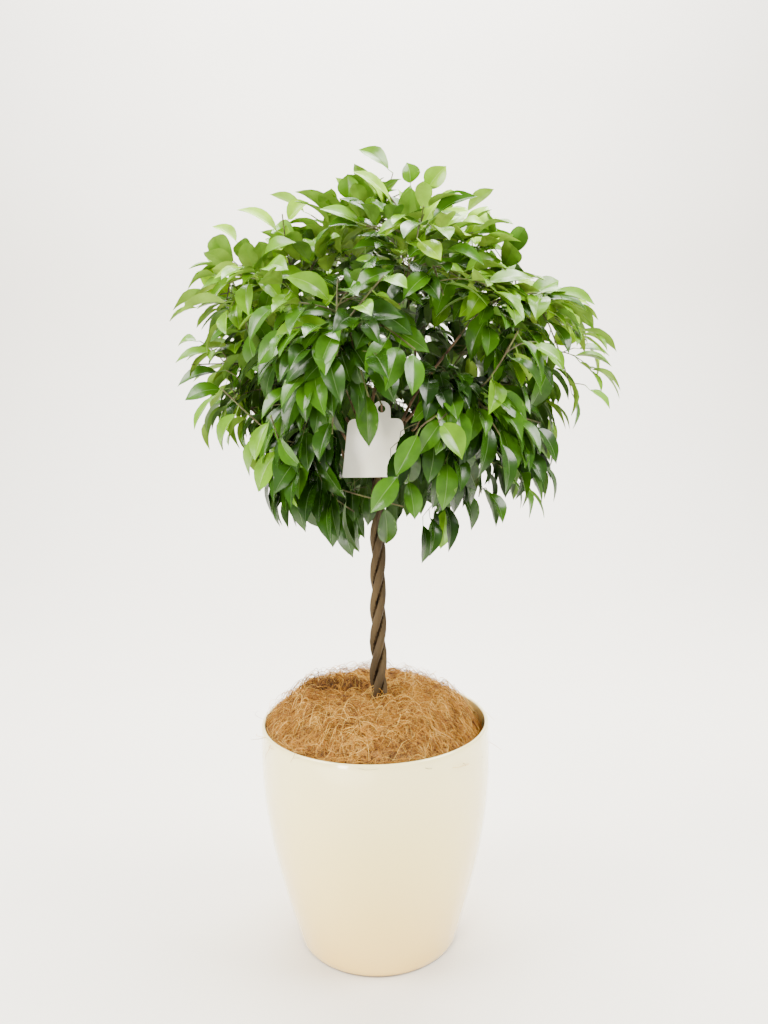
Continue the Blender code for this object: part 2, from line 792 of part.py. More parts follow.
def main():
    clear_scene()
    glaze = material("pot_glaze", (0.86, 0.82, 0.72), 0.12)
    soil = material("potting_soil", (0.06, 0.04, 0.025), 0.95)
    fibre = material("coconut_fibre", (0.47, 0.27, 0.11), 0.9)
    bark = material("bark", (0.25, 0.17, 0.11), 0.75)
    board = material("card", (0.90, 0.88, 0.82), 0.5)
    green = material("leaf", (0.10, 0.28, 0.04), 0.35)

    make_pot(glaze)
    make_root_ball(soil)
    make_fibre(fibre)

    avoid_vertices, avoid_faces = [], []

    def avoid(solid):
        vertices, faces = solid
        shift = len(avoid_vertices)
        avoid_vertices.extend(vertices)
        avoid_faces.extend([tuple(i + shift for i in face) for face in faces])

    leaders = [stem_line(stem) for stem in range(STEMS)]
    for stem, (path, radii) in enumerate(leaders):
        add_object(f"stem_{stem + 1}", *tube(path, radii, STEM_SIDES, UP), bark)
        avoid(tube(path, [r + 2 * GAP for r in radii], STEM_SIDES))
    boughs = bough_lines(leaders)
    for label, (path, radii) in boughs.items():
        add_object(f"bough_{label}", *tube(path, radii, BOUGH_SIDES), bark)
        avoid(tube(path, [r + 2 * GAP for r in radii], BOUGH_SIDES))
    spur, taper = spur_line(leaders)
    add_object("spur", *tube(spur, taper, BOUGH_SIDES), bark)
    avoid(tube(spur, [r + 2 * GAP for r in taper], BOUGH_SIDES))
    make_card(board)
    avoid(card_space())
    avoid(card_window())
    limbs = BVHTree.FromPolygons(avoid_vertices, avoid_faces)
    centres = [HEART + direction * MASS_CENTRE for _, direction in masses()]
    for index, (label, direction) in enumerate(masses()):
        mass = Mass(index, centres, direction, boughs[label][0], limbs)
        mass.grow_twigs()
        mass.grow_leaves()
        fuse_cleanly(f"foliage_{label}", mass.solids, green)


main()
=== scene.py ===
"""The looks of a standard, or lollipop, weeping fig in a glossy round pot.

The trunk, boughs, twigs and leaves grow by the same rule and from the same seeds as the solids. The
rule is then carried on to finer twigs with smaller leaves. A few more leaves stand at places of
their own, where the photograph shows them.
"""

import math
import random

import bpy
from mathutils import Matrix, Vector, noise
from mathutils.bvhtree import BVHTree


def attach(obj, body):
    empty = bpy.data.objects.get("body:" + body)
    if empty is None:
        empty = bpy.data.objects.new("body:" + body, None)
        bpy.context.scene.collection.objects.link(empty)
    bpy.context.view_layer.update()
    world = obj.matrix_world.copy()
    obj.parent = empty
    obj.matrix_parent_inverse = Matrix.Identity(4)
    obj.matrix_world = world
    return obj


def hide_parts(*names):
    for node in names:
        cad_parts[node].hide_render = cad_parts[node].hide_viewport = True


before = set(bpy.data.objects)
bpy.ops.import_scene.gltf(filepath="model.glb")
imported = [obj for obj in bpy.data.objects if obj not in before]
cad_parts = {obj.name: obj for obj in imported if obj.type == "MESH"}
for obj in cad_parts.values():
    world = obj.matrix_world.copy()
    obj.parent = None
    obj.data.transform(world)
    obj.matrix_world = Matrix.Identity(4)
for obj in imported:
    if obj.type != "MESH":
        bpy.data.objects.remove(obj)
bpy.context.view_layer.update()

tree_of = BVHTree.FromPolygons
UP = Vector((0, 0, 1))
GAP = 0.0003  # between any two separate pieces
UPRIGHT = 0.95  # a direction that rises more than this counts as upright

# The pot: a tall bowl whose side swells from the foot to a belly just under the rim.
POT_HEIGHT = 0.303
POT_FOOT_RADIUS = 0.1065
POT_BELLY_RADIUS = 0.1513
POT_BELLY_HEIGHT = 0.255
POT_RIM_RADIUS = 0.1495
POT_WALL = 0.0046
POT_FLOOR = 0.006
POT_FOOT_ROUND = 0.003
POT_TURNS = 176

# What fills it: a root ball, then coconut fibre heaped like a nest round the trunk.
SOIL_TOP = 0.272
FIBRE_EDGE = 0.2965
FIBRE_CREST = 0.333
FIBRE_HOLLOW = 0.329
FIBRE_CREST_AT = 0.58  # share of the way from the trunk to the wall
FIBRE_FALL = 1.4  # the power of its fall from the crest to the wall
FIBRE_FRONT = 0.007  # how much lower it lies at the front
FIBRE_SLUMP = 0.009  # and at the wall on the right
FIBRE_HOLE = 0.0172
FIBRE_LUMP = 0.004
FIBRE_LUMPS = 3.1

# The trunk: three stems twisted like a rope, leaning slightly to the right.
STEMS = 3
STEM_RADIUS = 0.0053
STEM_TAPER = 0.77  # radius at the top of the twist over that at the bottom
FLARE = 0.0016  # extra stem radius at the soil
FLARE_HEIGHT = 0.035
TWIST_PITCH = 0.137
TWIST_SEAM = 0.374  # a seam between two stems faces the front at this height
TWIST_TOP = 0.625
TWIST_STEPS = 24
TWIST_SLACK = 1.05
TRUNK_FOOT = Vector((0.004, 0, SOIL_TOP + GAP))
TRUNK_LEAN = 0.016
STEM_SIDES = 6
LEADER_RISE = 0.068
LEADER_SPREAD = 0.036
LEADER_BEND = 0.03
LEADER_TIP_RADIUS = 0.0029
LEADER_STEPS = 6

# The crown, measured from its heart.
HEART = Vector((0.02, 0, 0.765))
CROWN_RADIUS = 0.258
# Where the outline swells or dips: azimuth, elevation and width in degrees, and the gain.
SWELLS = (
    (0, -10, 30, 0.038), (0, -46, 14, 0.05), (180, -32, 15, -0.05), (0, 31, 11, -0.062),
    (0, 89, 12, 0.03), (180, 43, 14, 0.012), (180, 6, 22, 0.036), (0, 4, 16, 0.02),
    (180, 52, 14, 0.016), (180, -46, 12, -0.018), (180, 66, 13, -0.022), (180, -30, 10, -0.015),
)
# The masses of foliage go down a spiral round the heart, between these two rises.
MASSES = 12
MASS_TOP = 0.88
MASS_FOOT = -0.64
MASS_TURN = 150
MASS_CENTRE = 0.165
MASS_STEM_STEPS = 5
# The masses whose boughs leave each leader, from its tip down, and at which shares of its length.
BOUGHS = (("02", "07", "10", "12"), ("03", "05", "08", "11"), ("01", "04", "06", "09"))
BOUGH_SHARES = (1, 0.62, 0.38, 0.14)
BOUGH_REACH = 0.105
BOUGH_RADIUS = 0.0023
BOUGH_TIP_RADIUS = 0.0014
BOUGH_SIDES = 5
BOUGH_STEPS = 4
# How far each kind of limb goes out, or on, and up before it bends, as shares of its length.
BOUGH_BEND = (0.3, 0.16)
MASS_BEND = (0.45, 0.1)
TWIG_BEND = (0.35, 0.16)

TWIGS = 118
TWIG_FOOT = -0.93
TWIG_SHORTEST = 0.42  # some twigs stop short of the outline by up to this share
TWIG_RADIUS = 0.0011
TWIG_TIP_RADIUS = 0.0009
TWIG_ROOT = 0.3
TWIG_SIDES = 3
TWIG_STEPS = 3
TWIG_FIRST = 0.2  # where on a twig its first leaf is
TWIG_TOO_NEAR = 0.99  # no twig grows in a direction this like its stem's
TWIG_SHORTER = 0.06  # how much shorter it is at each try
STEM_TWIG_RADIUS = TWIG_RADIUS * 1.15
STEM_TWIG_FIRST = 0.3
TWIG_FORKS = (0.06, 0.75)  # where on the stem they fork
LEAF_OVERHANG = 0.036  # how far the outermost leaves reach past their twigs, at the sides
LEAF_UNDERHANG = 0.4  # and how much further straight down, as a share of that
LEAF_SPACING = 0.0225
LEAF_SHIFT = 0.2  # how unevenly they are spaced
LEAF_LENGTH = 0.066
LEAF_WIDTH = 0.0315
LEAF_THICK = 0.0011
LEAF_SUNK = 0.0001
LEAF_MIDDLE = 0.46  # its widest place, and how far it is arched and folded there
LEAF_ARCH = 0.07
LEAF_FOLD = 0.1
LEAF_SIZES = (0.84, 1.12)
LEAF_TIP_SIZE = 0.86
TIP_SIDE = 0.15  # how far the leaf at a twig's tip turns aside
LEAF_PULLS = (0.5, 0.75, 0.15, 0.28)  # along its twig, aside, outwards and at random
FACE_PULLS = (0.6, 0.8, 0.35)  # its upper face: up, outwards and at random
LEAF_RISE = 0.2  # how strongly leaves turn up at the top of the crown
LEAF_FALL = 1.05  # and how fast that becomes a droop, going down
TWIG_TRIES = 12
LEAF_TRIES = 14
LEAF_SMALLER = 0.94
LEAF_SWING = (0.3, 1.3)
LEAF_SEED = 38

# The blank card. Its tab hangs by a round hole on a bare spur, in front of the trunk.
CARD_HOLE = Vector((0.016, -0.088, 0.7137))  # the middle of the hole
CARD_HOLE_RADIUS = 0.0045
CARD_THICK = 0.001
CARD_TAB_HALF = 0.0105
CARD_SHOULDER = -0.0112  # heights here are measured from the hole
CARD_FOOT = -0.0797
CARD_MIDDLE = -0.0075  # the card's middle, to the left of its hole
CARD_FOOT_HALF = 0.04
CARD_LEFT = CARD_MIDDLE - CARD_FOOT_HALF
WINDOW_DEPTH = 0.16
WINDOW_RIGHT = 0.006
WINDOW_OVER = 0.004
SPUR_SHARE = 0.45  # how far along the leader it leaves
SPUR_PAST = 0.014
SPUR_LIFT = 0.2
SPUR_RADIUS = 0.0018
SPUR_TIP_RADIUS = 0.0012

# Spaces that leaves keep free, as corners measured from the card's hole: the card, the space where
# they part so that its left shows from the front, and the one in front of its tab.
CARD_SPACE = ((CARD_LEFT, -CARD_THICK, CARD_FOOT),
              (CARD_MIDDLE + CARD_FOOT_HALF, CARD_THICK, CARD_TAB_HALF))
CARD_WINDOW = ((CARD_LEFT, -WINDOW_DEPTH, CARD_FOOT),
               (WINDOW_RIGHT, -CARD_THICK, CARD_SHOULDER + WINDOW_OVER))
TAB_WINDOW = ((-0.01, -WINDOW_DEPTH, -0.014), (0.011, -CARD_THICK, 0.013))


def unit(azimuth, elevation):
    """The unit vector at these angles in degrees: azimuth 0 is +X and 90 is +Y."""
    a, e = math.radians(azimuth), math.radians(elevation)
    return Vector((math.cos(a) * math.cos(e), math.sin(a) * math.cos(e), math.sin(e)))


def polar(radius, turn):
    return radius * math.cos(turn), radius * math.sin(turn)


def across(way):
    """A level direction at right angles to another."""
    return way.cross(UP if abs(way.z) < UPRIGHT else Vector((1, 0, 0))).normalized()


def squared(normal, axis):
    """The part of a direction that is at right angles to an axis."""
    return (normal - axis * normal.dot(axis)).normalized()


def rings(rows, sides):
    """The faces between rows of vertices round an axis, and last the two that close them."""
    faces = []
    for row in range(rows - 1):
        low, high = row * sides, (row + 1) * sides
        for k in range(sides):
            n = (k + 1) % sides
            faces.append((low + k, low + n, high + n, high + k))
    last = (rows - 1) * sides
    return [*faces, tuple(reversed(range(sides))), tuple(last + k for k in range(sides))]


def tube(path, radii, sides):
    """Vertices and faces of a closed tube along a path."""
    vertices, side = [], None
    for i, (point, radius) in enumerate(zip(path, radii)):
        tangent = (path[min(i + 1, len(path) - 1)] - path[max(i - 1, 0)]).normalized()
        side = squared(side or tangent.orthogonal().normalized(), tangent)
        other = tangent.cross(side)
        for k in range(sides):
            turn = math.tau * k / sides
            vertices.append(point + radius * (math.cos(turn) * side + math.sin(turn) * other))
    return vertices, rings(len(path), sides)


def shell(path, radii, sides):
    """A tube with the room round it that other pieces keep free."""
    return tube(path, [radius + 2 * GAP for radius in radii], sides)


def taper(thick, thin, steps):
    """Radii that change evenly from one to another."""
    return [thick + (thin - thick) / steps * i for i in range(steps + 1)]


def bend(start, control, end, steps):
    """Points along a quadratic curve."""
    path = []
    for i in range(steps + 1):
        t = i / steps
        path.append(start * (1 - t) ** 2 + control * 2 * t * (1 - t) + end * t * t)
    return path


def onward(root, out, length, shares):
    """The control point of a limb that sets out one way and rises, by shares of its length."""
    return root + out * shares[0] * length + UP * shares[1] * length


def along(path, share):
    """The point and direction at a share of a path's length."""
    lengths = [(b - a).length for a, b in zip(path, path[1:])]
    left = share * sum(lengths)
    for a, b, length in zip(path, path[1:], lengths):
        if left <= length or b is path[-1]:
            return a.lerp(b, min(1, left / length)), (b - a).normalized()
        left -= length


def pot_radius(height):
    """The pot's outer radius: a quarter sine up to the belly, then slightly in to the rim."""
    if height <= POT_BELLY_HEIGHT:
        swell = math.sin(math.pi / 2 * height / POT_BELLY_HEIGHT)
        return POT_FOOT_RADIUS + (POT_BELLY_RADIUS - POT_FOOT_RADIUS) * swell
    above = (height - POT_BELLY_HEIGHT) / (POT_HEIGHT - POT_BELLY_HEIGHT)
    return POT_BELLY_RADIUS - (POT_BELLY_RADIUS - POT_RIM_RADIUS) * above**2


def inner_radius(height):
    return pot_radius(height) - POT_WALL


def trunk_axis(height):
    """The middle of the twisted trunk at a height."""
    rise = height - TRUNK_FOOT.z
    return Vector((TRUNK_FOOT.x + TRUNK_LEAN * rise, TRUNK_FOOT.y, height))


def stem_radius(height):
    share = (height - TRUNK_FOOT.z) / (TWIST_TOP - TRUNK_FOOT.z)
    flare = FLARE * max(0, 1 - (height - TRUNK_FOOT.z) / FLARE_HEIGHT) ** 2
    return STEM_RADIUS * (1 - (1 - STEM_TAPER) * share) + flare


def stem_azimuth(stem, height):
    """Degrees round the trunk's axis. It grows with height, so the rope is right-handed."""
    seam = 270 + 360 * (height - TWIST_SEAM) / TWIST_PITCH
    return seam + 360 / STEMS * (stem + 0.5)


def stem_point(stem, height):
    """The middle of one stem, just clear of its neighbours in the rope."""
    spread = stem_radius(height) * 2 / math.sqrt(3) * TWIST_SLACK + GAP
    return trunk_axis(height) + spread * unit(stem_azimuth(stem, height), 0)


def stem_line(stem):
    """One stem's path and radii, from the soil through the twist to its leader's tip."""
    path, radii = [], []
    for i in range(TWIST_STEPS + 1):
        height = TRUNK_FOOT.z + (TWIST_TOP - TRUNK_FOOT.z) * i / TWIST_STEPS
        path.append(stem_point(stem, height))
        radii.append(stem_radius(height))
    start = path[-1]
    heading = (path[-1] - path[-2]).normalized()
    end = start + unit(stem_azimuth(stem, TWIST_TOP), 0) * LEADER_SPREAD + UP * LEADER_RISE
    path += bend(start, start + heading * LEADER_BEND, end, LEADER_STEPS)[1:]
    return path, radii + taper(radii[-1], LEADER_TIP_RADIUS, LEADER_STEPS)[1:]


def spiral(count, top, foot, turn):
    """Directions spaced evenly down a golden spiral, from one rise (sine) to another."""
    golden = math.pi * (3 - math.sqrt(5))
    found = []
    for k in range(count):
        rise = top + (foot - top) * k / (count - 1)
        flat = math.sqrt(1 - rise * rise)
        angle = math.radians(turn) + golden * k
        found.append(Vector((*polar(flat, angle), rise)))
    return found


# The direction of each mass of foliage from the heart of the crown, by its label.
MASS_WAYS = {
    f"{k + 1:02d}": way for k, way in enumerate(spiral(MASSES, MASS_TOP, MASS_FOOT, MASS_TURN))
}


def bough_line(stem, share, tip):
    """A bough's path from the side of a stem's leader, or on from its end where the share is 1."""
    leader, thick = (line[-LEADER_STEPS - 1:] for line in stem)
    root, heading = along(leader, share)
    if share == 1:
        out, off = heading, GAP
    else:
        out, off = squared(tip - root, heading), thick[0] + (thick[-1] - thick[0]) * share + GAP
    root = root + out * off
    length = (tip - root).length
    line = bend(root, onward(root, out, length, BOUGH_BEND), tip, BOUGH_STEPS)
    line[1] = root + out * (line[1] - root).length
    return line


def bough_lines(leaders):
    """The path and radii of each mass's bough."""
    radii = taper(BOUGH_RADIUS, BOUGH_TIP_RADIUS, BOUGH_STEPS)
    lines = {}
    for stem, labels in zip(leaders, BOUGHS):
        for label, share in zip(labels, BOUGH_SHARES):
            tip = HEART + MASS_WAYS[label] * BOUGH_REACH
            lines[label] = (bough_line(stem, share, tip), radii)
    return lines


def spur_line(leaders):
    """The bare spur that the card hangs on, from the front leader forwards: path and radii."""
    stem = min(leaders, key=lambda stem: stem[0][-1].y)
    rest = CARD_HOLE + UP * (CARD_HOLE_RADIUS - SPUR_TIP_RADIUS - 2 * GAP)
    line = bough_line(stem, SPUR_SHARE, rest)
    line.append(rest + Vector((0, -SPUR_PAST, SPUR_PAST * SPUR_LIFT)))
    return line, [*taper(SPUR_RADIUS, SPUR_TIP_RADIUS, len(line) - 2), SPUR_TIP_RADIUS]


def card_box(corners):
    """A box that boughs and foliage avoid, from its corners measured from the card's hole."""
    low, high = (CARD_HOLE + Vector(corner) for corner in corners)
    spots = [(x, y, z) for x in (low.x, high.x) for y in (low.y, high.y) for z in (low.z, high.z)]
    faces = [(0, 1, 3, 2), (4, 6, 7, 5), (0, 4, 5, 1), (2, 3, 7, 6), (0, 2, 6, 4), (1, 5, 7, 3)]
    return [Vector(spot) for spot in spots], faces


def outline_reach(direction):
    """Distance from the heart of the crown to its outline in a direction."""
    reach = CROWN_RADIUS
    for azimuth, elevation, width, gain in SWELLS:
        off = math.degrees(direction.angle(unit(azimuth, elevation)))
        reach += gain * math.exp(-((off / width) ** 2))
    return reach


def depth_of(spot):
    """A spot's share of the way from the heart of the crown to its outline."""
    return (spot - HEART).length / outline_reach((spot - HEART).normalized())


def twig_reach(way):
    """How far the twigs go in a direction, so that drooping leaves end at the outline."""
    return outline_reach(way) - LEAF_OVERHANG * (1 + LEAF_UNDERHANG * max(0, -way.z))


def leaf_solid(root, axis, normal, length, width):
    """A folded, arched leaf of eight faces. Its root is a point sunk in the twig."""
    side = axis.cross(normal).normalized()
    half = LEAF_THICK / 2
    middle = root + axis * LEAF_MIDDLE * length + normal * LEAF_ARCH * length
    lift = normal * LEAF_FOLD * width
    vertices = [
        root - axis * LEAF_SUNK,
        root + axis * length,
        middle + side * width / 2 + lift,
        middle - side * width / 2 + lift,
        middle + normal * half,
        middle - normal * half,
    ]
    faces = [(0, 2, 4), (2, 1, 4), (1, 3, 4), (3, 0, 4), (0, 5, 2), (2, 5, 1), (1, 5, 3), (3, 5, 0)]
    return vertices, faces


def scatter(rng, size):
    return Vector((rng.uniform(-1, 1), rng.uniform(-1, 1), rng.uniform(-1, 1))) * size


def leaf_axes(point, tangent, side, swing, rng):
    """Which way a leaf points, swung round its twig by chance, and its upper face's normal.

    Leaves rise at the top of the crown and hang straight down under it.
    """
    side = Matrix.Rotation(rng.uniform(-swing, swing), 3, tangent) @ side
    outward = (point - HEART).normalized()
    ahead, aside, out, loose = LEAF_PULLS
    droop = LEAF_FALL * (1 - outward.z) - LEAF_RISE
    axis = tangent * ahead + side * aside - UP * droop + outward * out
    axis = (axis + scatter(rng, loose)).normalized()
    up, out, loose = FACE_PULLS
    return axis, squared(UP * up + outward * out + scatter(rng, loose), axis)


def leaf_sites(path, first, steps, loose, sizes, tip_size, rng):
    """Places for leaves on alternate sides of a twig, and one at its tip, with sides and sizes."""
    for k in range(steps + 1):
        shift = rng.uniform(-loose, loose) if loose else 0
        share = min(1, first + (1 - first) * (k + shift) / steps)
        point, tangent = along(path, max(0.05, share))
        at_tip = k == steps
        side = across(tangent) * (1 if k % 2 else -1) * (TIP_SIDE if at_tip else 1)
        yield point, tangent, side, rng.uniform(*sizes) * (tip_size if at_tip else 1)


def grow_mass(index, direction, bough, centres, limbs):
    """The twigs and leaves of one mass, which keep to its own space, as the solids do.

    Gives each twig's path and radii, the stem first, and each leaf's twig and shape.
    """
    rng = random.Random(LEAF_SEED * 1000 + index)
    mine = centres[index]
    trees, sites, twigs, leaves = [], [], [], []

    def within(spot):
        """True if a spot is nearer this mass's centre than any other's, by a margin."""
        gaps = [(other, other - mine) for other in centres if other is not mine]
        return all((spot - (mine + other) / 2).dot(gap) / gap.length <= -GAP for other, gap in gaps)

    def clear(solid, twig):
        """True if a solid keeps to this mass's space, off the limbs and off all but its twig."""
        tree = tree_of(*solid)
        if tree.overlap(limbs) or not all(within(v) for v in solid[0]):
            return False
        return not any(tree.overlap(other) for k, other in enumerate(trees) if k != twig)

    def add_twig(path, radius, first):
        radii = taper(radius, TWIG_TIP_RADIUS, len(path) - 1)
        if twigs:
            radii[0] *= TWIG_ROOT  # its narrow root lies wholly inside the stem
        trees.append(tree_of(*tube(path, radii, TWIG_SIDES)))
        reach = sum((b - a).length for a, b in zip(path, path[1:]))
        steps = max(1, round(reach * (1 - first) / LEAF_SPACING))
        places = leaf_sites(path, first, steps, LEAF_SHIFT, LEAF_SIZES, LEAF_TIP_SIZE, rng)
        sites.extend((len(twigs), *site) for site in places)
        twigs.append((path, radii))

    out = (bough[-1] - bough[-2]).normalized()
    root, tip = bough[-1] + out * GAP, HEART + direction * twig_reach(direction)
    stem = bend(root, onward(root, out, (tip - root).length, MASS_BEND), tip, MASS_STEM_STEPS)
    add_twig(stem, STEM_TWIG_RADIUS, STEM_TWIG_FIRST)
    for way in spiral(TWIGS, 1 - 1 / TWIGS, TWIG_FOOT, 0):
        nearest = max(centres, key=lambda centre: centre.dot(way) - HEART.dot(way))
        if nearest is not mine or way.dot(direction) > TWIG_TOO_NEAR:
            continue
        share = 1 - TWIG_SHORTEST * rng.random() ** 2
        end = HEART + way * twig_reach(way) * share
        for _ in range(TWIG_TRIES):
            start, heading = along(stem, rng.uniform(*TWIG_FORKS))
            rise = (heading * TWIG_BEND[0] + UP * TWIG_BEND[1]) * (end - start).length
            path = bend(start, start + rise, end, TWIG_STEPS)
            if clear(tube(path, [TWIG_RADIUS + GAP] * len(path), TWIG_SIDES), 0):
                add_twig(path, TWIG_RADIUS, TWIG_FIRST)
                break
            end += (start - end) * TWIG_SHORTER
    sites.sort(key=lambda site: -(site[1] - HEART).length)
    for twig, point, tangent, side, size in sites:
        for attempt in range(LEAF_TRIES):
            swing = LEAF_SWING[0] + LEAF_SWING[1] * attempt / LEAF_TRIES
            axes = leaf_axes(point, tangent, side, swing, rng)
            leaf = (point, *axes, LEAF_LENGTH * size, LEAF_WIDTH * size)
            solid = leaf_solid(*leaf)
            if clear(solid, twig):
                trees.append(tree_of(*solid))
                leaves.append((twig, *leaf))
                break
            if attempt % 4 == 3:
                side = -side
                size *= LEAF_SMALLER
    return twigs, leaves


# Materials


def finish(name, colour, roughness, specular, coat=0.0, coat_roughness=0.1):
    """A material with its uniform numbers on the shader's own sockets."""
    made = bpy.data.materials.new(name)
    made.use_nodes = True
    made.diffuse_color = (*colour, 1)
    sockets = made.node_tree.nodes["Principled BSDF"].inputs
    sockets["Base Color"].default_value = (*colour, 1)
    sockets["Roughness"].default_value = roughness
    sockets["Specular IOR Level"].default_value = specular
    sockets["Coat Weight"].default_value = coat
    sockets["Coat Roughness"].default_value = coat_roughness
    return made


def node(made, kind, sources, **settings):
    """A node of a material: its sockets' settings, and the sources that feed its sockets."""
    new = made.node_tree.nodes.new(f"ShaderNode{kind}")
    for name, value in settings.items():
        new.inputs[name.replace("_", " ")].default_value = value
    for name, source in sources.items():
        made.node_tree.links.new(source, new.inputs[name])
    return new.outputs


def feed(made, name, source):
    """Feeds a socket of the material's shader."""
    made.node_tree.links.new(source, made.node_tree.nodes["Principled BSDF"].inputs[name])


def noise_of(made, scale, detail, stretch=1):
    """A noise over the piece, stretched along its height."""
    place = node(made, "TexCoord", {})["Object"]
    mapped = node(made, "Mapping", {"Vector": place}, Scale=(1, 1, stretch))["Vector"]
    return node(made, "TexNoise", {"Vector": mapped}, Scale=scale, Detail=detail)["Fac"]


def ramped(made, source, tones):
    """Colours the surface by a source, through tones given as (position, colour)."""
    output = node(made, "ValToRGB", {"Fac": source})["Color"]
    stops = output.node.color_ramp.elements
    while len(stops) < len(tones):
        stops.new(0.5)
    for stop, (at, colour) in zip(stops, tones):
        stop.position, stop.color = at, (*colour, 1)
    feed(made, "Base Color", output)


def mottled(made, grain, low, high, spread=(0.35, 0.65)):
    """Colours the surface between two colours by a grain: a noise's scale, detail and stretch."""
    ramped(made, noise_of(made, *grain), list(zip(spread, (low, high))))
    return made


def shaded_upwards(made, height, tones):
    """Colours the surface by its height, through tones given as (height, colour)."""
    place = node(made, "TexCoord", {})["Object"]
    rise = node(made, "SeparateXYZ", {"Vector": place})["Z"]
    share = node(made, "MapRange", {"Value": rise}, From_Max=height)["Result"]
    ramped(made, share, [(at / height, colour) for at, colour in tones])


def bumped(made, grain, strength, distance):
    """Relief from a grain."""
    height = {"Height": noise_of(made, *grain)}
    feed(made, "Normal", node(made, "Bump", height, Strength=strength, Distance=distance)["Normal"])


def leaf_finish(name, colour, roughness, specular):
    """A side of a leaf, or its rib: a little uneven in colour, with a fine relief."""
    low, high = (tuple(c * share for c in colour) for share in (0.8, 1.18))
    made = mottled(finish(name, colour, roughness, specular), (55, 3), low, high)
    bumped(made, (420, 2), 0.12, 0.0006)
    return made


# Meshes


class Pile:
    """Shapes gathered for one mesh, with a mark on each face that says which finish it has."""

    def __init__(self):
        self.vertices, self.faces, self.marks = [], [], []

    def add(self, vertices, faces, marks=0):
        start = len(self.vertices)
        self.vertices.extend(vertices)
        self.faces.extend(tuple(i + start for i in face) for face in faces)
        self.marks.extend(marks if isinstance(marks, list) else [marks] * len(faces))
        return self

    def tree(self):
        return tree_of(self.vertices, self.faces)


def piece(name, pile, finishes, sharp=None):
    """A joined mesh, with edges that are sharp beyond an angle in degrees."""
    mesh = bpy.data.meshes.new(name)
    mesh.from_pydata([tuple(v) for v in pile.vertices], [], pile.faces)
    for made in finishes:
        mesh.materials.append(made)
    mesh.polygons.foreach_set("material_index", pile.marks)
    mesh.shade_smooth()
    if sharp:
        mesh.set_sharp_from_angle(angle=math.radians(sharp))
    obj = bpy.data.objects.new(name, mesh)
    bpy.context.scene.collection.objects.link(obj)
    return obj


def finer(path, radii, steps):
    """The same path with more points and no corners, and its radii."""
    points, thick = [], []
    last = len(path) - 1
    for k in range(last):
        before, start, end = path[max(0, k - 1)], path[k], path[k + 1]
        after = path[min(last, k + 2)]
        for i in range(steps):
            t = i / steps
            a = -0.5 * t**3 + t**2 - 0.5 * t
            b = 1.5 * t**3 - 2.5 * t**2 + 1
            c = -1.5 * t**3 + 2 * t**2 + 0.5 * t
            d = 0.5 * t**3 - 0.5 * t**2
            points.append(before * a + start * b + end * c + after * d)
            thick.append(radii[k] + (radii[k + 1] - radii[k]) * i / steps)
    return [*points, path[-1]], [*thick, radii[-1]]


# How close the ridges of the bark lie, round a limb and along it, and its lumps along it.
RIDGES_ROUND = 2.6
RIDGES_ALONG = 38
LUMPS_ALONG = 90


def rough_tube(path, radii, sides, ridge, seed):
    """A closed tube with bark on it: ridges that run along it, and lumps."""
    vertices, faces = tube(path, radii, sides)
    relief = []
    travelled = 0
    for ring, middle in enumerate(path):
        if ring:
            travelled += (middle - path[ring - 1]).length
        for k in range(sides):
            vertex = vertices[ring * sides + k]
            turn = math.tau * k / sides
            spot = Vector((*polar(RIDGES_ROUND, turn), travelled * RIDGES_ALONG + seed * 7.3))
            lump = Vector((spot.x * 0.4, spot.y * 0.4, travelled * LUMPS_ALONG + seed))
            rough = noise.noise(spot) + 0.5 * noise.noise(spot * 2.7) + 0.45 * noise.noise(lump)
            relief.append(vertex + (vertex - middle).normalized() * (ridge * rough) * radii[ring])
    return relief, faces


# Leaves: how wide one is along its blade, from its foot to its drawn-out tip.
BLADE = (
    (0.00, 0.00), (0.045, 0.24), (0.13, 0.54), (0.25, 0.81), (0.39, 0.97), (0.53, 1.00),
    (0.67, 0.89), (0.79, 0.66), (0.88, 0.38), (0.945, 0.15), (1.00, 0.00),
)
RIB = 0.045  # half the midrib's width, as a share of half the leaf's
RIB_DIP = 0.00022  # how far it is sunk in the upper side
RIB_KEEL = 0.00035  # and how far it stands out of the lower one
ACROSS = (-1.0, -0.55, -RIB, RIB, 0.55, 1.0)
BLADE_THICK = 0.00042
STALK_RADIUS = 0.00062
# Limits of what differs between leaves: the stalk's share of the length, then how far the blade
# arches, curls down, twists, folds and waves, where its waves begin, and how far it bends aside.
HABITS = (
    (0.14, 0.19), (0.05, 0.11), (0.08, 0.3), (-0.45, 0.45), (0.14, 0.5), (0.0, 0.06),
    (0, math.tau), (-0.12, 0.12),
)
CURL_POWER = 2.4
FOLD_POWER = 1.25
WAVES = 13


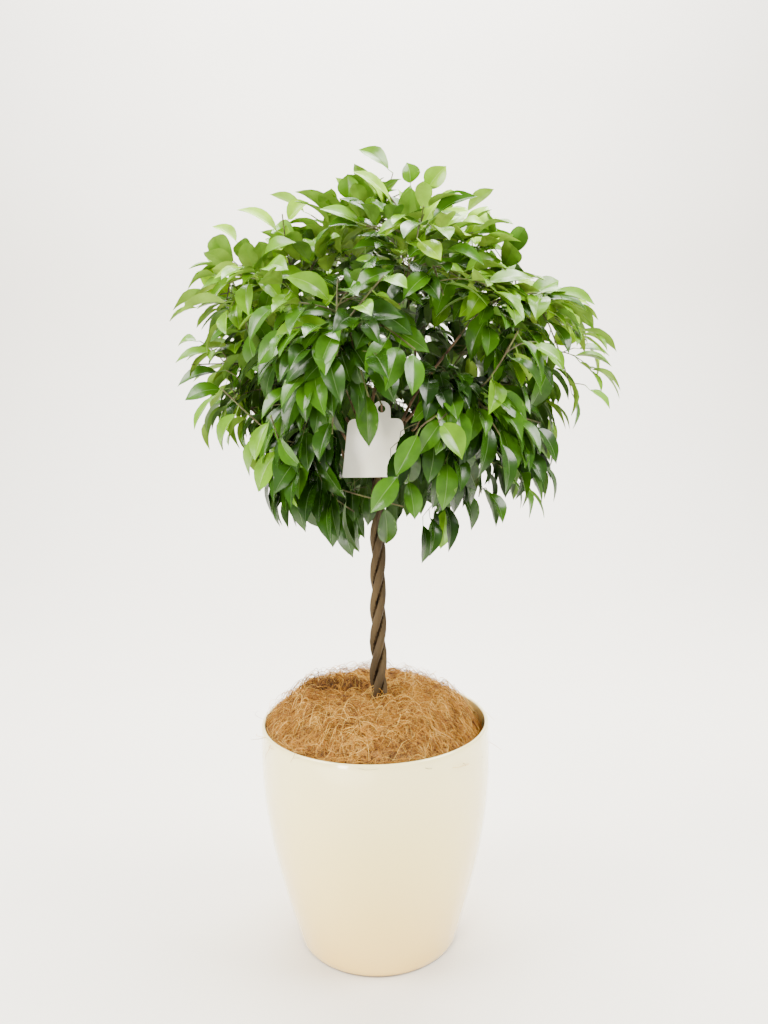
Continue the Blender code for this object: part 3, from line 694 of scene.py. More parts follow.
def leaf_mesh(pile, root, axis, normal, length, width, rng, hang):
    """One leaf: a thin stalk, then a folded blade with a midrib, curling down to its tip."""
    side = axis.cross(normal).normalized()
    stalk, arch, curl, twist, fold, wave, phase, sweep = (rng.uniform(*span) for span in HABITS)
    stalk *= length
    curl *= hang
    blade = length - stalk
    foot = root + axis * stalk - UP * stalk * 0.08

    def spine(t):
        bow = normal * blade * arch * 4 * t * (1 - t)
        drop = -(normal * 0.65 + UP * 0.35) * blade * curl * t**CURL_POWER
        return foot + axis * blade * t + bow + drop + side * blade * sweep * t * t

    vertices, faces, marks, tops, unders = [], [], [], [], []
    columns = len(ACROSS)
    for t, wide in BLADE:
        centre, turn = spine(t), twist * t
        out = side * math.cos(turn) + normal * math.sin(turn)
        up = normal * math.cos(turn) - side * math.sin(turn)
        half = width / 2 * wide
        top, under = [], []
        for u in ACROSS if wide else (0,):
            rise = half * fold * abs(u) ** FOLD_POWER
            rise += half * wave * math.sin(phase + t * WAVES + (2 if u > 0 else 0)) * abs(u)
            spot = centre + out * half * u + up * rise
            top.append(len(vertices))
            if wide and abs(u) < 1:
                dip, keel = (RIB_DIP, RIB_KEEL) if abs(u) <= RIB else (0, 0)
                vertices.append(spot + up * (BLADE_THICK / 2 - dip))
                spot = spot - up * (BLADE_THICK / 2 + keel)
            under.append(len(vertices))
            vertices.append(spot)
        tops.append(top if wide else top * columns)
        unders.append(under if wide else under * columns)
    for rows, mark in ((tops, 0), (unders, 1)):
        for low, high in zip(rows, rows[1:]):
            for column in range(columns - 1):
                corners = [low[column], high[column], high[column + 1], low[column + 1]]
                corners = [c for i, c in enumerate(corners) if c != corners[i - 1]]
                if len(corners) > 2:
                    faces.append(tuple(reversed(corners)) if mark else tuple(corners))
                    marks.append(2 if column == columns // 2 - 1 else mark)
    pile.add(vertices, faces, marks)
    path = [root, root.lerp(foot, 0.5) + UP * stalk * 0.02, foot + axis * blade * 0.03]
    stem, sides = tube(path, [STALK_RADIUS * share for share in (1.25, 1, 0.8)], 4)
    pile.add(stem, sides, 2)


# Finer growth. Each finer twig leaves a twig of the solids, a bough or a leader.
FINE_SEED = 900
FINE_SEED_STEPS = (50, 90)  # further on for the finer twigs, and for those of the heart
FINE_TWIGS = 6  # finer twigs tried on each twig
FINE_STEM_TWIGS = 12  # and on the stem of a mass
INNER_TWIGS = 28  # and on each bough and leader, to fill the heart of the crown
INNER_SINK = 0.5  # how much the lower of them turn down
INNER_REACH = 0.19  # how far from the heart they are
FINE_FORKS = (0.22, 0.92)  # where along the other they fork
FINE_PULLS = (0.5, 0.8, 0.35, 0.5)  # along it, to its side, outwards and at random
FINE_DROOP = 0.22
FINE_BEND = (0.55, 0.06)
FINE_STEPS = 4
FINE_LENGTH = (0.028, 0.07)
FINE_EDGE = 0.75  # most finer twigs stop at this share of the outline
FINE_LONG = 0.12  # and this share of them reach it
FINE_WAYS = 5
FINE_RADIUS = 0.00075
FINE_TIP_RADIUS = 0.00045
FINE_SPACING = 0.0165
FINE_FIRST = 0.35
FINE_LEAF = (0.063, 0.0264)  # length with its stalk, and width
FINE_SIZES = (0.78, 1.02)
FINE_TIP_SIZE = 0.84
FINE_WIDTHS = (0.9, 1.1)
FINE_TRIES = 9
FINE_SWING = (0.3, 1.5)
FINE_SPREAD = 0.45  # how much the leaves of finer twigs spread outwards instead of hanging
FINE_LIFT = 0.4  # and how much of that upwards
LEAF_REAL = 0.95  # length of a real leaf over that of a solid one
LEAF_REAL_SIZES = (0.92, 1.05)
LEAF_SLIM = 0.85  # and how much slimmer it is for its length
# The solid that stands for a leaf has this much less stalk, and these shares of length and width.
GROWN_LEAF = (0.008, 0.92, 0.86)
TRIED_LEAF = (0.01, 0.9, 0.84)
TRIED_SOLID = (0.01, 0.012, 0.8)  # a leaf of the solids: stalk, length off it, share of width
AIRY_FROM = 0.7  # the crown is airier beyond this share of its outline,
AIRY_TOP = 0.145  # this far above its heart
AIRY_SIDE = 0.19  # and this far to its sides
AIRY_PEAK = 0.13  # but less so in the middle of the top
AIRY_EDGE = 0.72  # most finer twigs stop at this share of the outline at the top,
PEAK_EDGE = 0.8  # and at this one in its middle
# Share of the leaves left out at the top, in its middle, at the sides and elsewhere.
AIRY_SHARES = (0.36, 0.26, 0.28, 0.05)
# No leaf of a finer twig is further from this x than this.
WIDTH_MIDDLE = 0.03
WIDTH_HALF = 0.272
CELL = 0.06  # side of the boxes that leaves are sorted into
# The tone of a spray, as deep in the crown as the first share says, and how it grows with depth:
# darker deeper in, partly as older leaves and partly as painted shade.
TONE_MIDDLE = 0.42
TONE_DEPTH = (0.8, 0.95)
TONE_HEIGHT = 0.54  # how much lighter it is at the top, partly as younger leaves and partly as painted light
PAINTED_LIGHT_SIDE = 0.2  # and at the sides, as painted light,
PAINTED_SHADE_FRONT = 0.3  # and darker at the front and the back, as painted shade
TONE_CHANCE = (-0.2, 0.24)
TONE_LEAF = 0.07  # how much its leaves differ
PAINTED_SHADE_INNER = (0.75, 0.5)  # the solids' leaves get painted shade, darker by this much, further in than this
TONE_FINE = -0.06

# Places of single leaves and twigs, in tenths of a millimetre, with widths too; tones and how
# squarely a leaf faces the front are in hundredths.
TENTH = 10000
# The leaves that hang over the card: root, tip, width and tone.
CARD_LEAVES = (
    (2, -1180, 7406, -30, -1280, 6794, 260, 36), (562, -1900, 6964, 342, -2020, 6494, 240, 50),
    (365, -1950, 6529, 31, -2100, 6120, 250, 48), (731, -1900, 7087, 1026, -2100, 6709, 270, 62),
    (440, -1500, 6437, 498, -1580, 5955, 210, 32),
)
CARD_LEAF_FACE = Vector((0.1, -1, 0.45))
# The twig that carries the four on the right, from the bough behind to the lowest of them.
CARD_TWIG = (
    (1159, -1200, 7397), (902, -1600, 7222), (731, -1890, 7087),
    (562, -1890, 6964), (440, -1800, 6700), (365, -1900, 6529),
)
CARD_SIGHT = ((-0.02, 0.104), -0.205, (0.605, 0.714))  # free in x, in front of this y, and in z
# The leaves that stand out round the crown: root, tip, how squarely they face the front, and tone.
EDGE_LEAVES = (
    (349, 0, 9953, -43, -100, 10259, 71, 78), (569, 100, 9807, 521, 0, 10090, 95, 66),
    (718, -100, 9683, 955, -200, 10013, 100, 92), (-176, -200, 9563, -200, -300, 9897, 100, 62),
    (-995, 0, 9390, -686, -100, 9637, 95, 86), (1369, 0, 9256, 1761, 0, 9391, 57, 84),
    (843, 200, 9573, 1195, 100, 9726, 71, 80), (-1532, 0, 9139, -1851, 0, 9417, 48, 90),
    (-1719, 0, 8808, -1970, -100, 9073, 81, 98), (-1602, -200, 8463, -1981, -300, 8778, 95, 96),
    (-1102, -300, 8833, -965, -400, 9334, 100, 82), (-2092, 0, 7989, -2380, 0, 7982, 48, 60),
    (-1770, -300, 7840, -2334, -400, 7787, 57, 58), (-1766, -100, 7625, -2370, -200, 7525, 67, 46),
    (-1675, -400, 7405, -2216, -500, 7320, 76, 50), (2242, -200, 7846, 2596, -300, 8098, 100, 94),
    (1913, 0, 8456, 2197, 0, 8620, 48, 84), (2580, 0, 7822, 3032, 0, 7765, 52, 60),
    (2725, 0, 7361, 3020, -100, 7072, 62, 56), (2047, -100, 8168, 1992, -200, 8461, 100, 64),
    (-295, -300, 5881, -216, -400, 5377, 81, 30), (942, -500, 6000, 882, -600, 5434, 100, 52),
    (1455, -200, 6102, 1694, -300, 5706, 67, 44), (-659, -200, 6064, -713, -300, 5711, 48, 40),
)
EDGE_WIDTH = 0.0262
EDGE_SPAN = 0.03  # length of the twigs that carry them
EDGE_DIP = 0.006
HAND_STEPS = 5
HAND_BEND = 0.6
CARD_RISE = 0.01
# Where twigs close the gaps in the heart of the crown, how many at each, how long and how dark,
# their dark tone being painted shade in the heart of the crown.
FILL_AT = (
    (-190, 300, 6100), (-220, 1200, 6040), (-120, -400, 6170), (-70, 800, 6060),
    (780, 300, 8120), (440, 300, 7680), (20, 300, 7560), (10, 1200, 7570),
)
FILL_EACH = 2
FILL_SPAN = 0.035
FILL_SCATTER = 0.012
FILL_BEND = 0.55
FILL_RISE = 0.006
FILL_TONE = 0.22


def place(*tenths):
    """A place from tenths of a millimetre."""
    return Vector([tenth / TENTH for tenth in tenths])


class Crown:
    """Every leaf and twig of the crown, with the leaves sorted by place."""

    def __init__(self, limbs):
        self.limbs = limbs
        self.cells, self.leaves, self.twigs = {}, [], []

    def cell(self, spot):
        return tuple(math.floor(c / CELL) for c in spot)

    def near(self, spot):
        """The leaves in the boxes round a spot."""
        x, y, z = self.cell(spot)
        for i in (x - 1, x, x + 1):
            for j in (y - 1, y, y + 1):
                for k in (z - 1, z, z + 1):
                    yield from self.cells.get((i, j, k), ())

    def free(self, solid, middle):
        """True if a leaf meets no limb and no other leaf, and leaves the card in sight."""
        tree = tree_of(*solid)
        if tree.overlap(self.limbs) or any(before_card(vertex) for vertex in solid[0]):
            return False
        return not any(tree.overlap(other) for other in self.near(middle))

    def grow(self, leaf, tone):
        root, axis, _, length, _ = leaf
        cell = self.cell(root + axis * length / 2)
        self.cells.setdefault(cell, []).append(tree_of(*stand_in(*leaf, *GROWN_LEAF)))
        self.leaves.append((*leaf, tone))

    def keep(self, twigs, leaves, rng):
        """The twigs and leaves of a mass, but not all the leaves where the crown is airy."""
        tones = [tone_with_painted_light(path[-1], rng) for path, _ in twigs]
        self.twigs += twigs
        limit, darker = PAINTED_SHADE_INNER
        for twig, root, axis, normal, length, width in leaves:
            if rng.random() < airiness(root):
                continue
            # Leaves deep in the crown get a darker tone as painted shade.
            tone = tones[twig] - darker * max(0, limit - depth_of(root))
            tone += rng.uniform(-TONE_LEAF, TONE_LEAF)
            size = LEAF_REAL * rng.uniform(*LEAF_REAL_SIZES)
            stalk, less, slim = TRIED_SOLID
            blade = (length - less) * size
            solid = leaf_solid(root + axis * stalk, axis, normal, blade, width * size * slim)
            if self.free(solid, root + axis * length / 2):
                self.grow((root, axis, normal, length * size, width * size * LEAF_SLIM), tone)

    def add_twig(self, path, thick, thinner):
        """A twig whose radii, as shares of a finer twig's, fall evenly."""
        radii = [FINE_RADIUS * (thick - thinner * k) for k in range(len(path))]
        self.twigs.append((path, radii))


def stand_in(root, axis, normal, length, width, stalk, short, slim):
    """The solid that stands for a leaf when others look for room."""
    return leaf_solid(root + axis * stalk, axis, normal, (length - stalk) * short, width * slim)


def inside(solid):
    """True if a leaf is inside the outline and the width."""
    return all(abs(v.x - WIDTH_MIDDLE) <= WIDTH_HALF and depth_of(v) <= 1 for v in solid[0])


def before_card(spot):
    """True in the space in front of the leaves that hang over the card."""
    (left, right), front, (foot, top) = CARD_SIGHT
    return spot.y < front and left < spot.x < right and foot < spot.z < top


def tone_with_painted_light(end, rng):
    """A spray's tone, from 0, deep inside or low down, to 1, at the top or the sides: partly its
    age and partly painted light, with painted shade deep inside and at the front and the back.
    """
    way = (end - HEART).normalized()
    middle, deeper = TONE_DEPTH
    front = PAINTED_SHADE_FRONT * abs(way.y) * max(0, min(1, 0.5 + way.z))
    tone = TONE_MIDDLE + deeper * (depth_of(end) - middle) + TONE_HEIGHT * way.z
    return tone + PAINTED_LIGHT_SIDE * abs(way.x) - front + rng.uniform(*TONE_CHANCE)


def airiness(spot):
    """Share of the leaves left out at a spot, near the outline at the top and the sides."""
    away = spot - HEART
    top, peak, sides, elsewhere = AIRY_SHARES
    if depth_of(spot) < AIRY_FROM:
        return 0
    if away.z > AIRY_TOP:
        return top if math.hypot(away.x, away.y) > AIRY_PEAK else peak
    return sides if abs(away.x) > AIRY_SIDE else elsewhere


def grow_by_hand(crown, leaf, normal, width, tone):
    """A leaf from its root to its tip."""
    root, tip = place(*leaf[:3]), place(*leaf[3:6])
    axis = (tip - root).normalized()
    crown.grow((root, axis, squared(normal, axis), (tip - root).length, width), tone)


def grow_card_leaves(crown, limbs):
    """The leaves that hang over the card, and the two twigs that carry them."""
    points = [point for path in limbs for point in path[1:]]
    for leaf in CARD_LEAVES:
        grow_by_hand(crown, leaf, CARD_LEAF_FACE, leaf[6] / TENTH, leaf[7] / 100)
    root = place(*CARD_LEAVES[0][:3])
    start = min(points, key=lambda point: (point - root).length)
    line = bend(start, start.lerp(root, HAND_BEND) + UP * CARD_RISE, root, HAND_STEPS)
    crown.add_twig(line, 1.3, 0)
    line = [place(*spot) for spot in CARD_TWIG]
    start = min(points, key=lambda point: (point - line[0]).length)
    crown.add_twig([start, *line], 1.9, 0.13)


def grow_edge_leaves(crown):
    """The leaves that stand out round the crown, seen from the front."""
    ahead = Vector((0, -1, 0.15)).normalized()
    for leaf in EDGE_LEAVES:
        facing = leaf[6] / 100
        axis = (place(*leaf[3:6]) - place(*leaf[:3])).normalized()
        over = axis.cross(ahead).normalized()
        over *= math.copysign(1, over.z)
        normal = ahead * facing + over * math.sqrt(1 - facing**2)
        grow_by_hand(crown, leaf, normal, EDGE_WIDTH, leaf[7] / 100)


def join_edge_leaves(crown, nodes):
    """A short twig to each of them from the nearest limb or twig."""
    for leaf in EDGE_LEAVES:
        root = place(*leaf[:3])
        ahead = (place(*leaf[3:6]) - root).normalized()
        behind = [node for node in nodes if (root - node).normalized().dot(ahead) > -0.2] or nodes
        start = min(behind, key=lambda node: abs((node - root).length - EDGE_SPAN))
        line = bend(start, start.lerp(root, HAND_BEND) - ahead * EDGE_DIP, root, HAND_STEPS)
        crown.add_twig(line, 1.3, 0.08)


def fill_gaps(crown, nodes, rng):
    """Short leafy twigs that close the gaps in the heart of the crown."""
    for spot in FILL_AT:
        spot = place(*spot)
        for number in range(FILL_EACH):
            start = sorted(nodes, key=lambda node: abs((node - spot).length - FILL_SPAN))[number]
            end = spot + scatter(rng, FILL_SCATTER)
            line = bend(start, start.lerp(end, FILL_BEND) + UP * FILL_RISE, end, FINE_STEPS)
            put_leaves(crown, line, FILL_TONE, rng)


def grow_fine(crown, path, rng, sink):
    """One finer twig from the side of a twig, with leaves on it, where there is room."""
    start, heading = along(path, rng.uniform(*FINE_FORKS))
    outward = (start - HEART).normalized()
    aside = across(heading)
    ahead, sideways, out, loose = FINE_PULLS
    for _ in range(FINE_WAYS):
        way = heading * ahead + aside * rng.choice((-1, 1)) * sideways + outward * out
        way = (way + scatter(rng, loose) - UP * sink).normalized()
        span = rng.uniform(*FINE_LENGTH) * (1 + sink)
        end = start + way * span - UP * span * FINE_DROOP
        away = end - HEART
        edge = 1 if rng.random() < FINE_LONG else FINE_EDGE
        if away.z > AIRY_TOP:
            edge = PEAK_EDGE if math.hypot(away.x, away.y) < AIRY_PEAK else AIRY_EDGE
        if away.length < edge * twig_reach(away.normalized()):
            break
    else:
        return
    control = start + way * span * FINE_BEND[0] + UP * span * FINE_BEND[1]
    line = bend(start, control, end, FINE_STEPS)
    solid = tube(line, [FINE_RADIUS] * len(line), 3)
    if not tree_of(*solid).overlap(crown.limbs):
        put_leaves(crown, line, tone_with_painted_light(end, rng) + TONE_FINE, rng)


def put_leaves(crown, line, tone, rng):
    """The leaves of one finer twig. A twig with no room for any isn't kept."""
    placed = False
    steps = max(1, round((line[-1] - line[0]).length / FINE_SPACING))
    sites = leaf_sites(line, FINE_FIRST, steps, 0, FINE_SIZES, FINE_TIP_SIZE, rng)
    for point, tangent, side, size in sites:
        outward = (point - HEART).normalized()
        for attempt in range(FINE_TRIES):
            swing = FINE_SWING[0] + FINE_SWING[1] * attempt / FINE_TRIES
            axis, normal = leaf_axes(point, tangent, side, swing, rng)
            axis = axis + outward * FINE_SPREAD + UP * FINE_SPREAD * FINE_LIFT
            axis.normalize()
            length, width = FINE_LEAF[0] * size, FINE_LEAF[1] * size * rng.uniform(*FINE_WIDTHS)
            leaf = (point, axis, squared(normal, axis), length, width)
            solid = stand_in(*leaf, *TRIED_LEAF)
            if inside(solid) and crown.free(solid, point + axis * length / 2):
                crown.grow(leaf, tone + rng.uniform(-TONE_LEAF, TONE_LEAF))
                placed = True
                break
    if placed:
        crown.twigs.append((line, taper(FINE_RADIUS, FINE_TIP_RADIUS, len(line) - 1)))


def grow_crown():
    """The trunk's and boughs' lines, the solids' own twigs and leaves, and finer ones between."""
    leaders = [stem_line(stem) for stem in range(STEMS)]
    boughs = bough_lines(leaders)
    spur = spur_line(leaders)
    limbs = [*boughs.values(), spur]
    avoided = Pile()
    for line in leaders:
        avoided.add(*shell(*line, STEM_SIDES))
    for line in limbs:
        avoided.add(*shell(*line, BOUGH_SIDES))
    avoided.add(*card_box(CARD_SPACE)).add(*card_box(CARD_WINDOW))
    solids_avoid = avoided.tree()
    crown = Crown(avoided.add(*card_box(TAB_WINDOW)).tree())
    grow_card_leaves(crown, [path for path, _ in limbs])
    grow_edge_leaves(crown)
    centres = [HEART + direction * MASS_CENTRE for direction in MASS_WAYS.values()]
    grown = []
    for index, (label, direction) in enumerate(MASS_WAYS.items()):
        twigs, leaves = grow_mass(index, direction, boughs[label][0], centres, solids_avoid)
        grown.append(twigs)
        crown.keep(twigs, leaves, random.Random(FINE_SEED + index))
    fine, inner = FINE_SEED_STEPS
    for index, twigs in enumerate(grown):
        rng = random.Random(FINE_SEED + fine + index)
        for number, (path, _) in enumerate(twigs):
            for _ in range(FINE_TWIGS if number else FINE_STEM_TWIGS):
                grow_fine(crown, path, rng, 0)
    rng = random.Random(FINE_SEED + inner)
    for path, _ in [*boughs.values(), *leaders]:
        high = [point for point in path if (point - HEART).length < INNER_REACH]
        if len(high) > 1:
            for number in range(INNER_TWIGS):
                grow_fine(crown, high, rng, INNER_SINK * (number % 3))
    nodes = [point for path, _ in [*crown.twigs, *boughs.values()] for point in path]
    join_edge_leaves(crown, nodes)
    fill_gaps(crown, nodes, rng)
    return leaders, boughs, spur, crown


# The plant: each tone of leaf with its limit, and the colours of its upper side and its underside.
# The tones carry painted light: the shaded and deep ones painted shade, the palest ones partly
# painted light.
TONES = (
    ("shaded", 0.02, (0.007, 0.027, 0.001), (0.02, 0.052, 0.006)),
    ("deep", 0.27, (0.015, 0.052, 0.002), (0.042, 0.095, 0.012)),
    ("green", 0.52, (0.038, 0.118, 0.003), (0.08, 0.17, 0.018)),
    ("light", 0.8, (0.105, 0.245, 0.005), (0.17, 0.3, 0.028)),
    ("young_and_lit", 9.00, (0.24, 0.45, 0.008), (0.31, 0.49, 0.048)),
)
HANG = (1.25, 0.75)  # how much leaves curl down, less so the higher their tone
HABIT_SEED = 17
SEAM_DEPTH = 1.5  # seams of the trunk lie nearer its middle than this many stem radii


def in_seam(vertices, face):
    """1 for a face of the trunk that lies between two stems, which takes the seam's painted shade,
    0 for the others.
    """
    middle = sum((vertices[i] for i in face), Vector()) / len(face)
    if middle.z > TWIST_TOP:
        return 0
    return int((middle - trunk_axis(middle.z)).length < SEAM_DEPTH * stem_radius(middle.z))


leaders, boughs, spur, crown = grow_crown()
foliage = [f"foliage_{label}" for label in MASS_WAYS]
piles = {name: Pile() for name, _, _, _ in TONES}
chance = random.Random(HABIT_SEED)
for *shape, tone in crown.leaves:
    name = next(name for name, limit, _, _ in TONES if tone < limit)
    hang = HANG[0] - HANG[1] * max(0, min(1, tone))
    leaf_mesh(piles[name], *shape, chance, hang)
for name, _, upper, lower in TONES:
    rib = tuple(0.4 * a + 0.6 * b + 0.012 for a, b in zip(upper, lower))
    finishes = [
        leaf_finish(f"leaf_{name}", upper, 0.26, 0.27),
        leaf_finish(f"leaf_{name}_underside", lower, 0.55, 0.22),
        leaf_finish(f"leaf_{name}_rib", rib, 0.42, 0.3),
    ]
    leaves = piece(f"leaves_{name}", piles[name], finishes, 62)
    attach(leaves, "root")
    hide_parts(*foliage)

bark = finish("bark_grey_brown", (0.08, 0.053, 0.026), 0.82, 0.3)
mottled(bark, (34, 8, 0.22), (0.015, 0.009, 0.003), (0.085, 0.055, 0.021), (0.3, 0.72))
bumped(bark, (190, 6, 0.2), 0.55, 0.0016)
# The faces between the stems are painted near black: painted shade in the grooves of the rope.
seam = finish("bark_seam_painted_shade", (0.012, 0.007, 0.003), 0.95, 0.1)
mottled(seam, (120, 5), (0.01, 0.006, 0.0025), (0.036, 0.022, 0.009))
pile = Pile()
for number, (path, radii) in enumerate(leaders):
    line, thick = finer(path, radii, 10)
    vertices, faces = rough_tube(line, [r * 1.05 for r in thick], 26, 0.11, number)
    pile.add(vertices, faces, [in_seam(vertices, face) for face in faces])
trunk = piece("trunk_bark", pile, [bark, seam], 50)
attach(trunk, "root")
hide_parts("stem_1", "stem_2", "stem_3")

young_bark = finish("bark_brown", (0.17, 0.1, 0.055), 0.78, 0.3)
mottled(young_bark, (60, 6, 0.4), (0.085, 0.05, 0.028), (0.27, 0.175, 0.1))
bumped(young_bark, (260, 4), 0.4, 0.001)
pile = Pile()
for number, line in enumerate([*boughs.values(), spur]):
    pile.add(*rough_tube(*finer(*line, 5), 10, 0.1, number + 9))
limbs = piece("boughs_bark", pile, [young_bark], 50)
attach(limbs, "root")
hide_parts(*(f"bough_{label}" for label in boughs), "spur")

shoot = finish("twig_olive", (0.08, 0.09, 0.03), 0.65, 0.3)
mottled(shoot, (70, 4), (0.055, 0.04, 0.018), (0.105, 0.12, 0.036))
pile = Pile()
for line in crown.twigs:
    pile.add(*tube(*finer(*line, 3), 5))
twigs = piece("twigs", pile, [shoot], 60)
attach(twigs, "root")
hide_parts(*foliage)


# Coconut fibre
STRANDS = 8000
STRAND_RADIUS = 0.00026
STRAND_POINTS = 9
STRAND_STEPS = (0.003, 0.0062)
STRAND_OFF = 0.002  # how far from the wall it stays
STRAND_CURL = 0.3
STRAND_KINK = 0.18
STRAND_DEPTHS = (-0.003, 0.0035)
STRAND_LIFT = 0.003
STRAND_STANDS = (0.004, 0.019)
ONE_STANDS = 6  # one strand in so many stands out of the heap
ONE_SPILLS = 23  # and one in so many may hang over the rim
STRAND_SEED = 29
FOLD_AT = Vector((-0.056, 0.024))  # the fold behind the trunk's left, dark from painted shade on its strands
FOLD_HALF = (0.046, 0.009)  # half its length and width
FOLD_BOW = 0.006
FOLD_DEPTH = 0.016
WAD_HEIGHT = 0.45 * FOLD_DEPTH  # a wad of fibre that lies behind it
SLUMP = 0.017  # how much further the strands fall at the wall on the right
CLUMP = 0.0045
CLUMPS = 62
# Each tone of strand: the level that it starts at, and its colours.
FIBRE_TONES = (
    ("dark", 0, (0.06, 0.025, 0.006), (0.12, 0.052, 0.013)),
    ("russet", 0.14, (0.24, 0.092, 0.013), (0.36, 0.155, 0.026)),
    ("golden", 0.44, (0.43, 0.188, 0.019), (0.56, 0.275, 0.038)),
    ("straw", 0.84, (0.67, 0.385, 0.07), (0.78, 0.49, 0.12)),
)


def clumps(x, y):
    return noise.noise(Vector((x, y, 0)) * CLUMPS)


def fold(x, y, middle, half):
    """How deep in the fold a place is, for a fold with this middle and width across it."""
    along_it = (x - FOLD_AT.x) / FOLD_HALF[0]
    across_it = (y - FOLD_AT.y - FOLD_BOW * along_it**2) / FOLD_HALF[1]
    return math.exp(-(along_it**4) - (across_it - middle) ** 2 / half)


def fibre_top(x, y):
    """Height of the fibre at a place: a nest with lumps, a fold and clumps."""
    turn = math.atan2(y, x)
    wall = inner_radius(FIBRE_EDGE)
    share = min(1, max(0, (math.hypot(x, y) - FIBRE_HOLE) / (wall - FIBRE_HOLE)))
    if share < FIBRE_CREST_AT:
        rise = math.sin(math.pi / 2 * share / FIBRE_CREST_AT)
        height = FIBRE_HOLLOW + (FIBRE_CREST - FIBRE_HOLLOW) * rise
    else:
        fall = (share - FIBRE_CREST_AT) / (1 - FIBRE_CREST_AT)
        height = FIBRE_CREST - (FIBRE_CREST - FIBRE_EDGE) * fall**FIBRE_FALL
    # The nest is lower at the front, where it slopes down to the rim.
    height -= FIBRE_FRONT * max(0, -math.sin(turn)) * math.sin(math.pi * min(1, share * 1.1))
    height -= FIBRE_SLUMP * max(0, math.cos(turn)) ** 2 * share**2
    spot = Vector((*polar(share, turn), 0)) * FIBRE_LUMPS
    height += FIBRE_LUMP * noise.noise(spot) * math.sin(math.pi * min(1, share + 0.05))
    height -= FOLD_DEPTH * fold(x, y, 0, 1)
    height += WAD_HEIGHT * fold(x, y, 2.6, 2)
    height -= SLUMP * max(0, math.cos(turn + 0.15)) ** 3 * share**5
    return height + CLUMP * clumps(x, y) * math.sin(math.pi * min(1, share + 0.04))


def strand(rng, number):
    """The path of one curled strand, lying in the heap or standing a little out of it."""
    wall = inner_radius(FIBRE_EDGE) - STRAND_OFF
    radius = math.sqrt(rng.uniform(0.015, 1)) * wall
    turn = rng.uniform(0, math.tau)
    x, y = polar(radius, turn)
    heading = rng.uniform(0, math.tau)
    curl = rng.gauss(0, STRAND_CURL)
    step = rng.uniform(*STRAND_STEPS)
    depth = rng.uniform(*STRAND_DEPTHS)
    lift = rng.gauss(0, STRAND_LIFT) if number % ONE_STANDS else rng.uniform(*STRAND_STANDS)
    path = []
    for i in range(STRAND_POINTS):
        ahead, aside = polar(step, heading)
        x, y = x + ahead, y + aside
        heading += curl + rng.gauss(0, STRAND_KINK)
        away = math.hypot(x, y)
        if away > wall and number % ONE_SPILLS:
            x, y = x * wall / away, y * wall / away
        rise = abs(lift) * math.sin(math.pi * (i / (STRAND_POINTS - 1)))
        path.append(Vector((x, y, fibre_top(x, y) + depth + rise)))
    return path


base = finish("coconut_fibre_heap", (0.22, 0.115, 0.045), 0.95, 0.1)
mottled(base, (150, 9), (0.1, 0.048, 0.018), (0.44, 0.255, 0.095))
bumped(base, (320, 8), 0.9, 0.004)
HEAP_RINGS, HEAP_TURNS = 44, 132
HEAP_HOLE = FIBRE_HOLE * 0.55
HEAP_EDGE = inner_radius(FIBRE_EDGE) - 0.0009
HEAP_SUNK = 0.003
HEAP_LUMP = 0.0014
HEAP_LUMPS = 190
vertices = []
for ring in range(HEAP_RINGS + 1):
    share = ring / HEAP_RINGS
    radius = HEAP_HOLE + (HEAP_EDGE - HEAP_HOLE) * share
    for k in range(HEAP_TURNS):
        turn = math.tau * k / HEAP_TURNS
        x, y = polar(radius, turn)
        lump = noise.noise(Vector((x, y, 3)) * HEAP_LUMPS) * HEAP_LUMP
        lump *= math.sin(math.pi * min(1, share + 0.02))
        vertices.append(Vector((x, y, fibre_top(x, y) - HEAP_SUNK + lump)))
faces = [(a, d, c, b) for a, b, c, d in rings(HEAP_RINGS + 1, HEAP_TURNS)[:-2]]
heap = piece("coconut_heap", Pile().add(vertices, faces), [base])
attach(heap, "root")
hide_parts("coconut_fibre")

chance = random.Random(STRAND_SEED)
piles = [Pile() for _ in FIBRE_TONES]
for number in range(STRANDS):
    thick = STRAND_RADIUS * chance.uniform(0.6, 1.5)
    path = strand(chance, number)
    spot = path[4]
    # Strands get painted shade up the fold's back and in the dips between clumps, and painted light
    # on the clumps; the rest of their tone is by chance.
    level = chance.random() + 0.7 * clumps(spot.x, spot.y) - 1.2 * fold(spot.x, spot.y, 0.7, 1)
    index = sum(level > limit for _, limit, _, _ in FIBRE_TONES[1:])
    shares = [0.45 + 0.55 * math.sin(math.pi * (i + 0.6) / len(path)) for i in range(len(path))]
    piles[index].add(*tube(path, [thick * share for share in shares], 3))
for (name, _, low, high), pile in zip(FIBRE_TONES, piles):
    made = finish(f"coconut_{name}", low, 0.78, 0.25)
    mottled(made, (90, 3), low, high)
    strands = piece(f"coconut_strands_{name}", pile, [made])
    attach(strands, "root")
    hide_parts("coconut_fibre")


# The pot as a profile of radii and heights: its foot, outer side, rim and inner side.
profile = [(POT_FOOT_RADIUS - POT_FOOT_ROUND, 0)]
for k in range(1, 6):
    turn = math.pi / 2 * k / 6
    radius = POT_FOOT_RADIUS - POT_FOOT_ROUND * (1 - math.sin(turn))
    profile.append((radius, POT_FOOT_ROUND * (1 - math.cos(turn))))
lip = POT_WALL / 2
for k in range(45):
    height = POT_FOOT_ROUND + (POT_HEIGHT - lip - POT_FOOT_ROUND) * k / 44
    profile.append((pot_radius(height), height))
for k in range(1, 12):
    turn = math.pi * k / 12
    radius = POT_RIM_RADIUS - lip + lip * math.cos(turn)
    profile.append((radius, POT_HEIGHT - lip + lip * math.sin(turn)))
for k in range(25):
    height = POT_HEIGHT - lip - (POT_HEIGHT - lip - POT_FLOOR) * k / 24
    profile.append((inner_radius(height), height))
turns = [math.tau * k / POT_TURNS for k in range(POT_TURNS)]
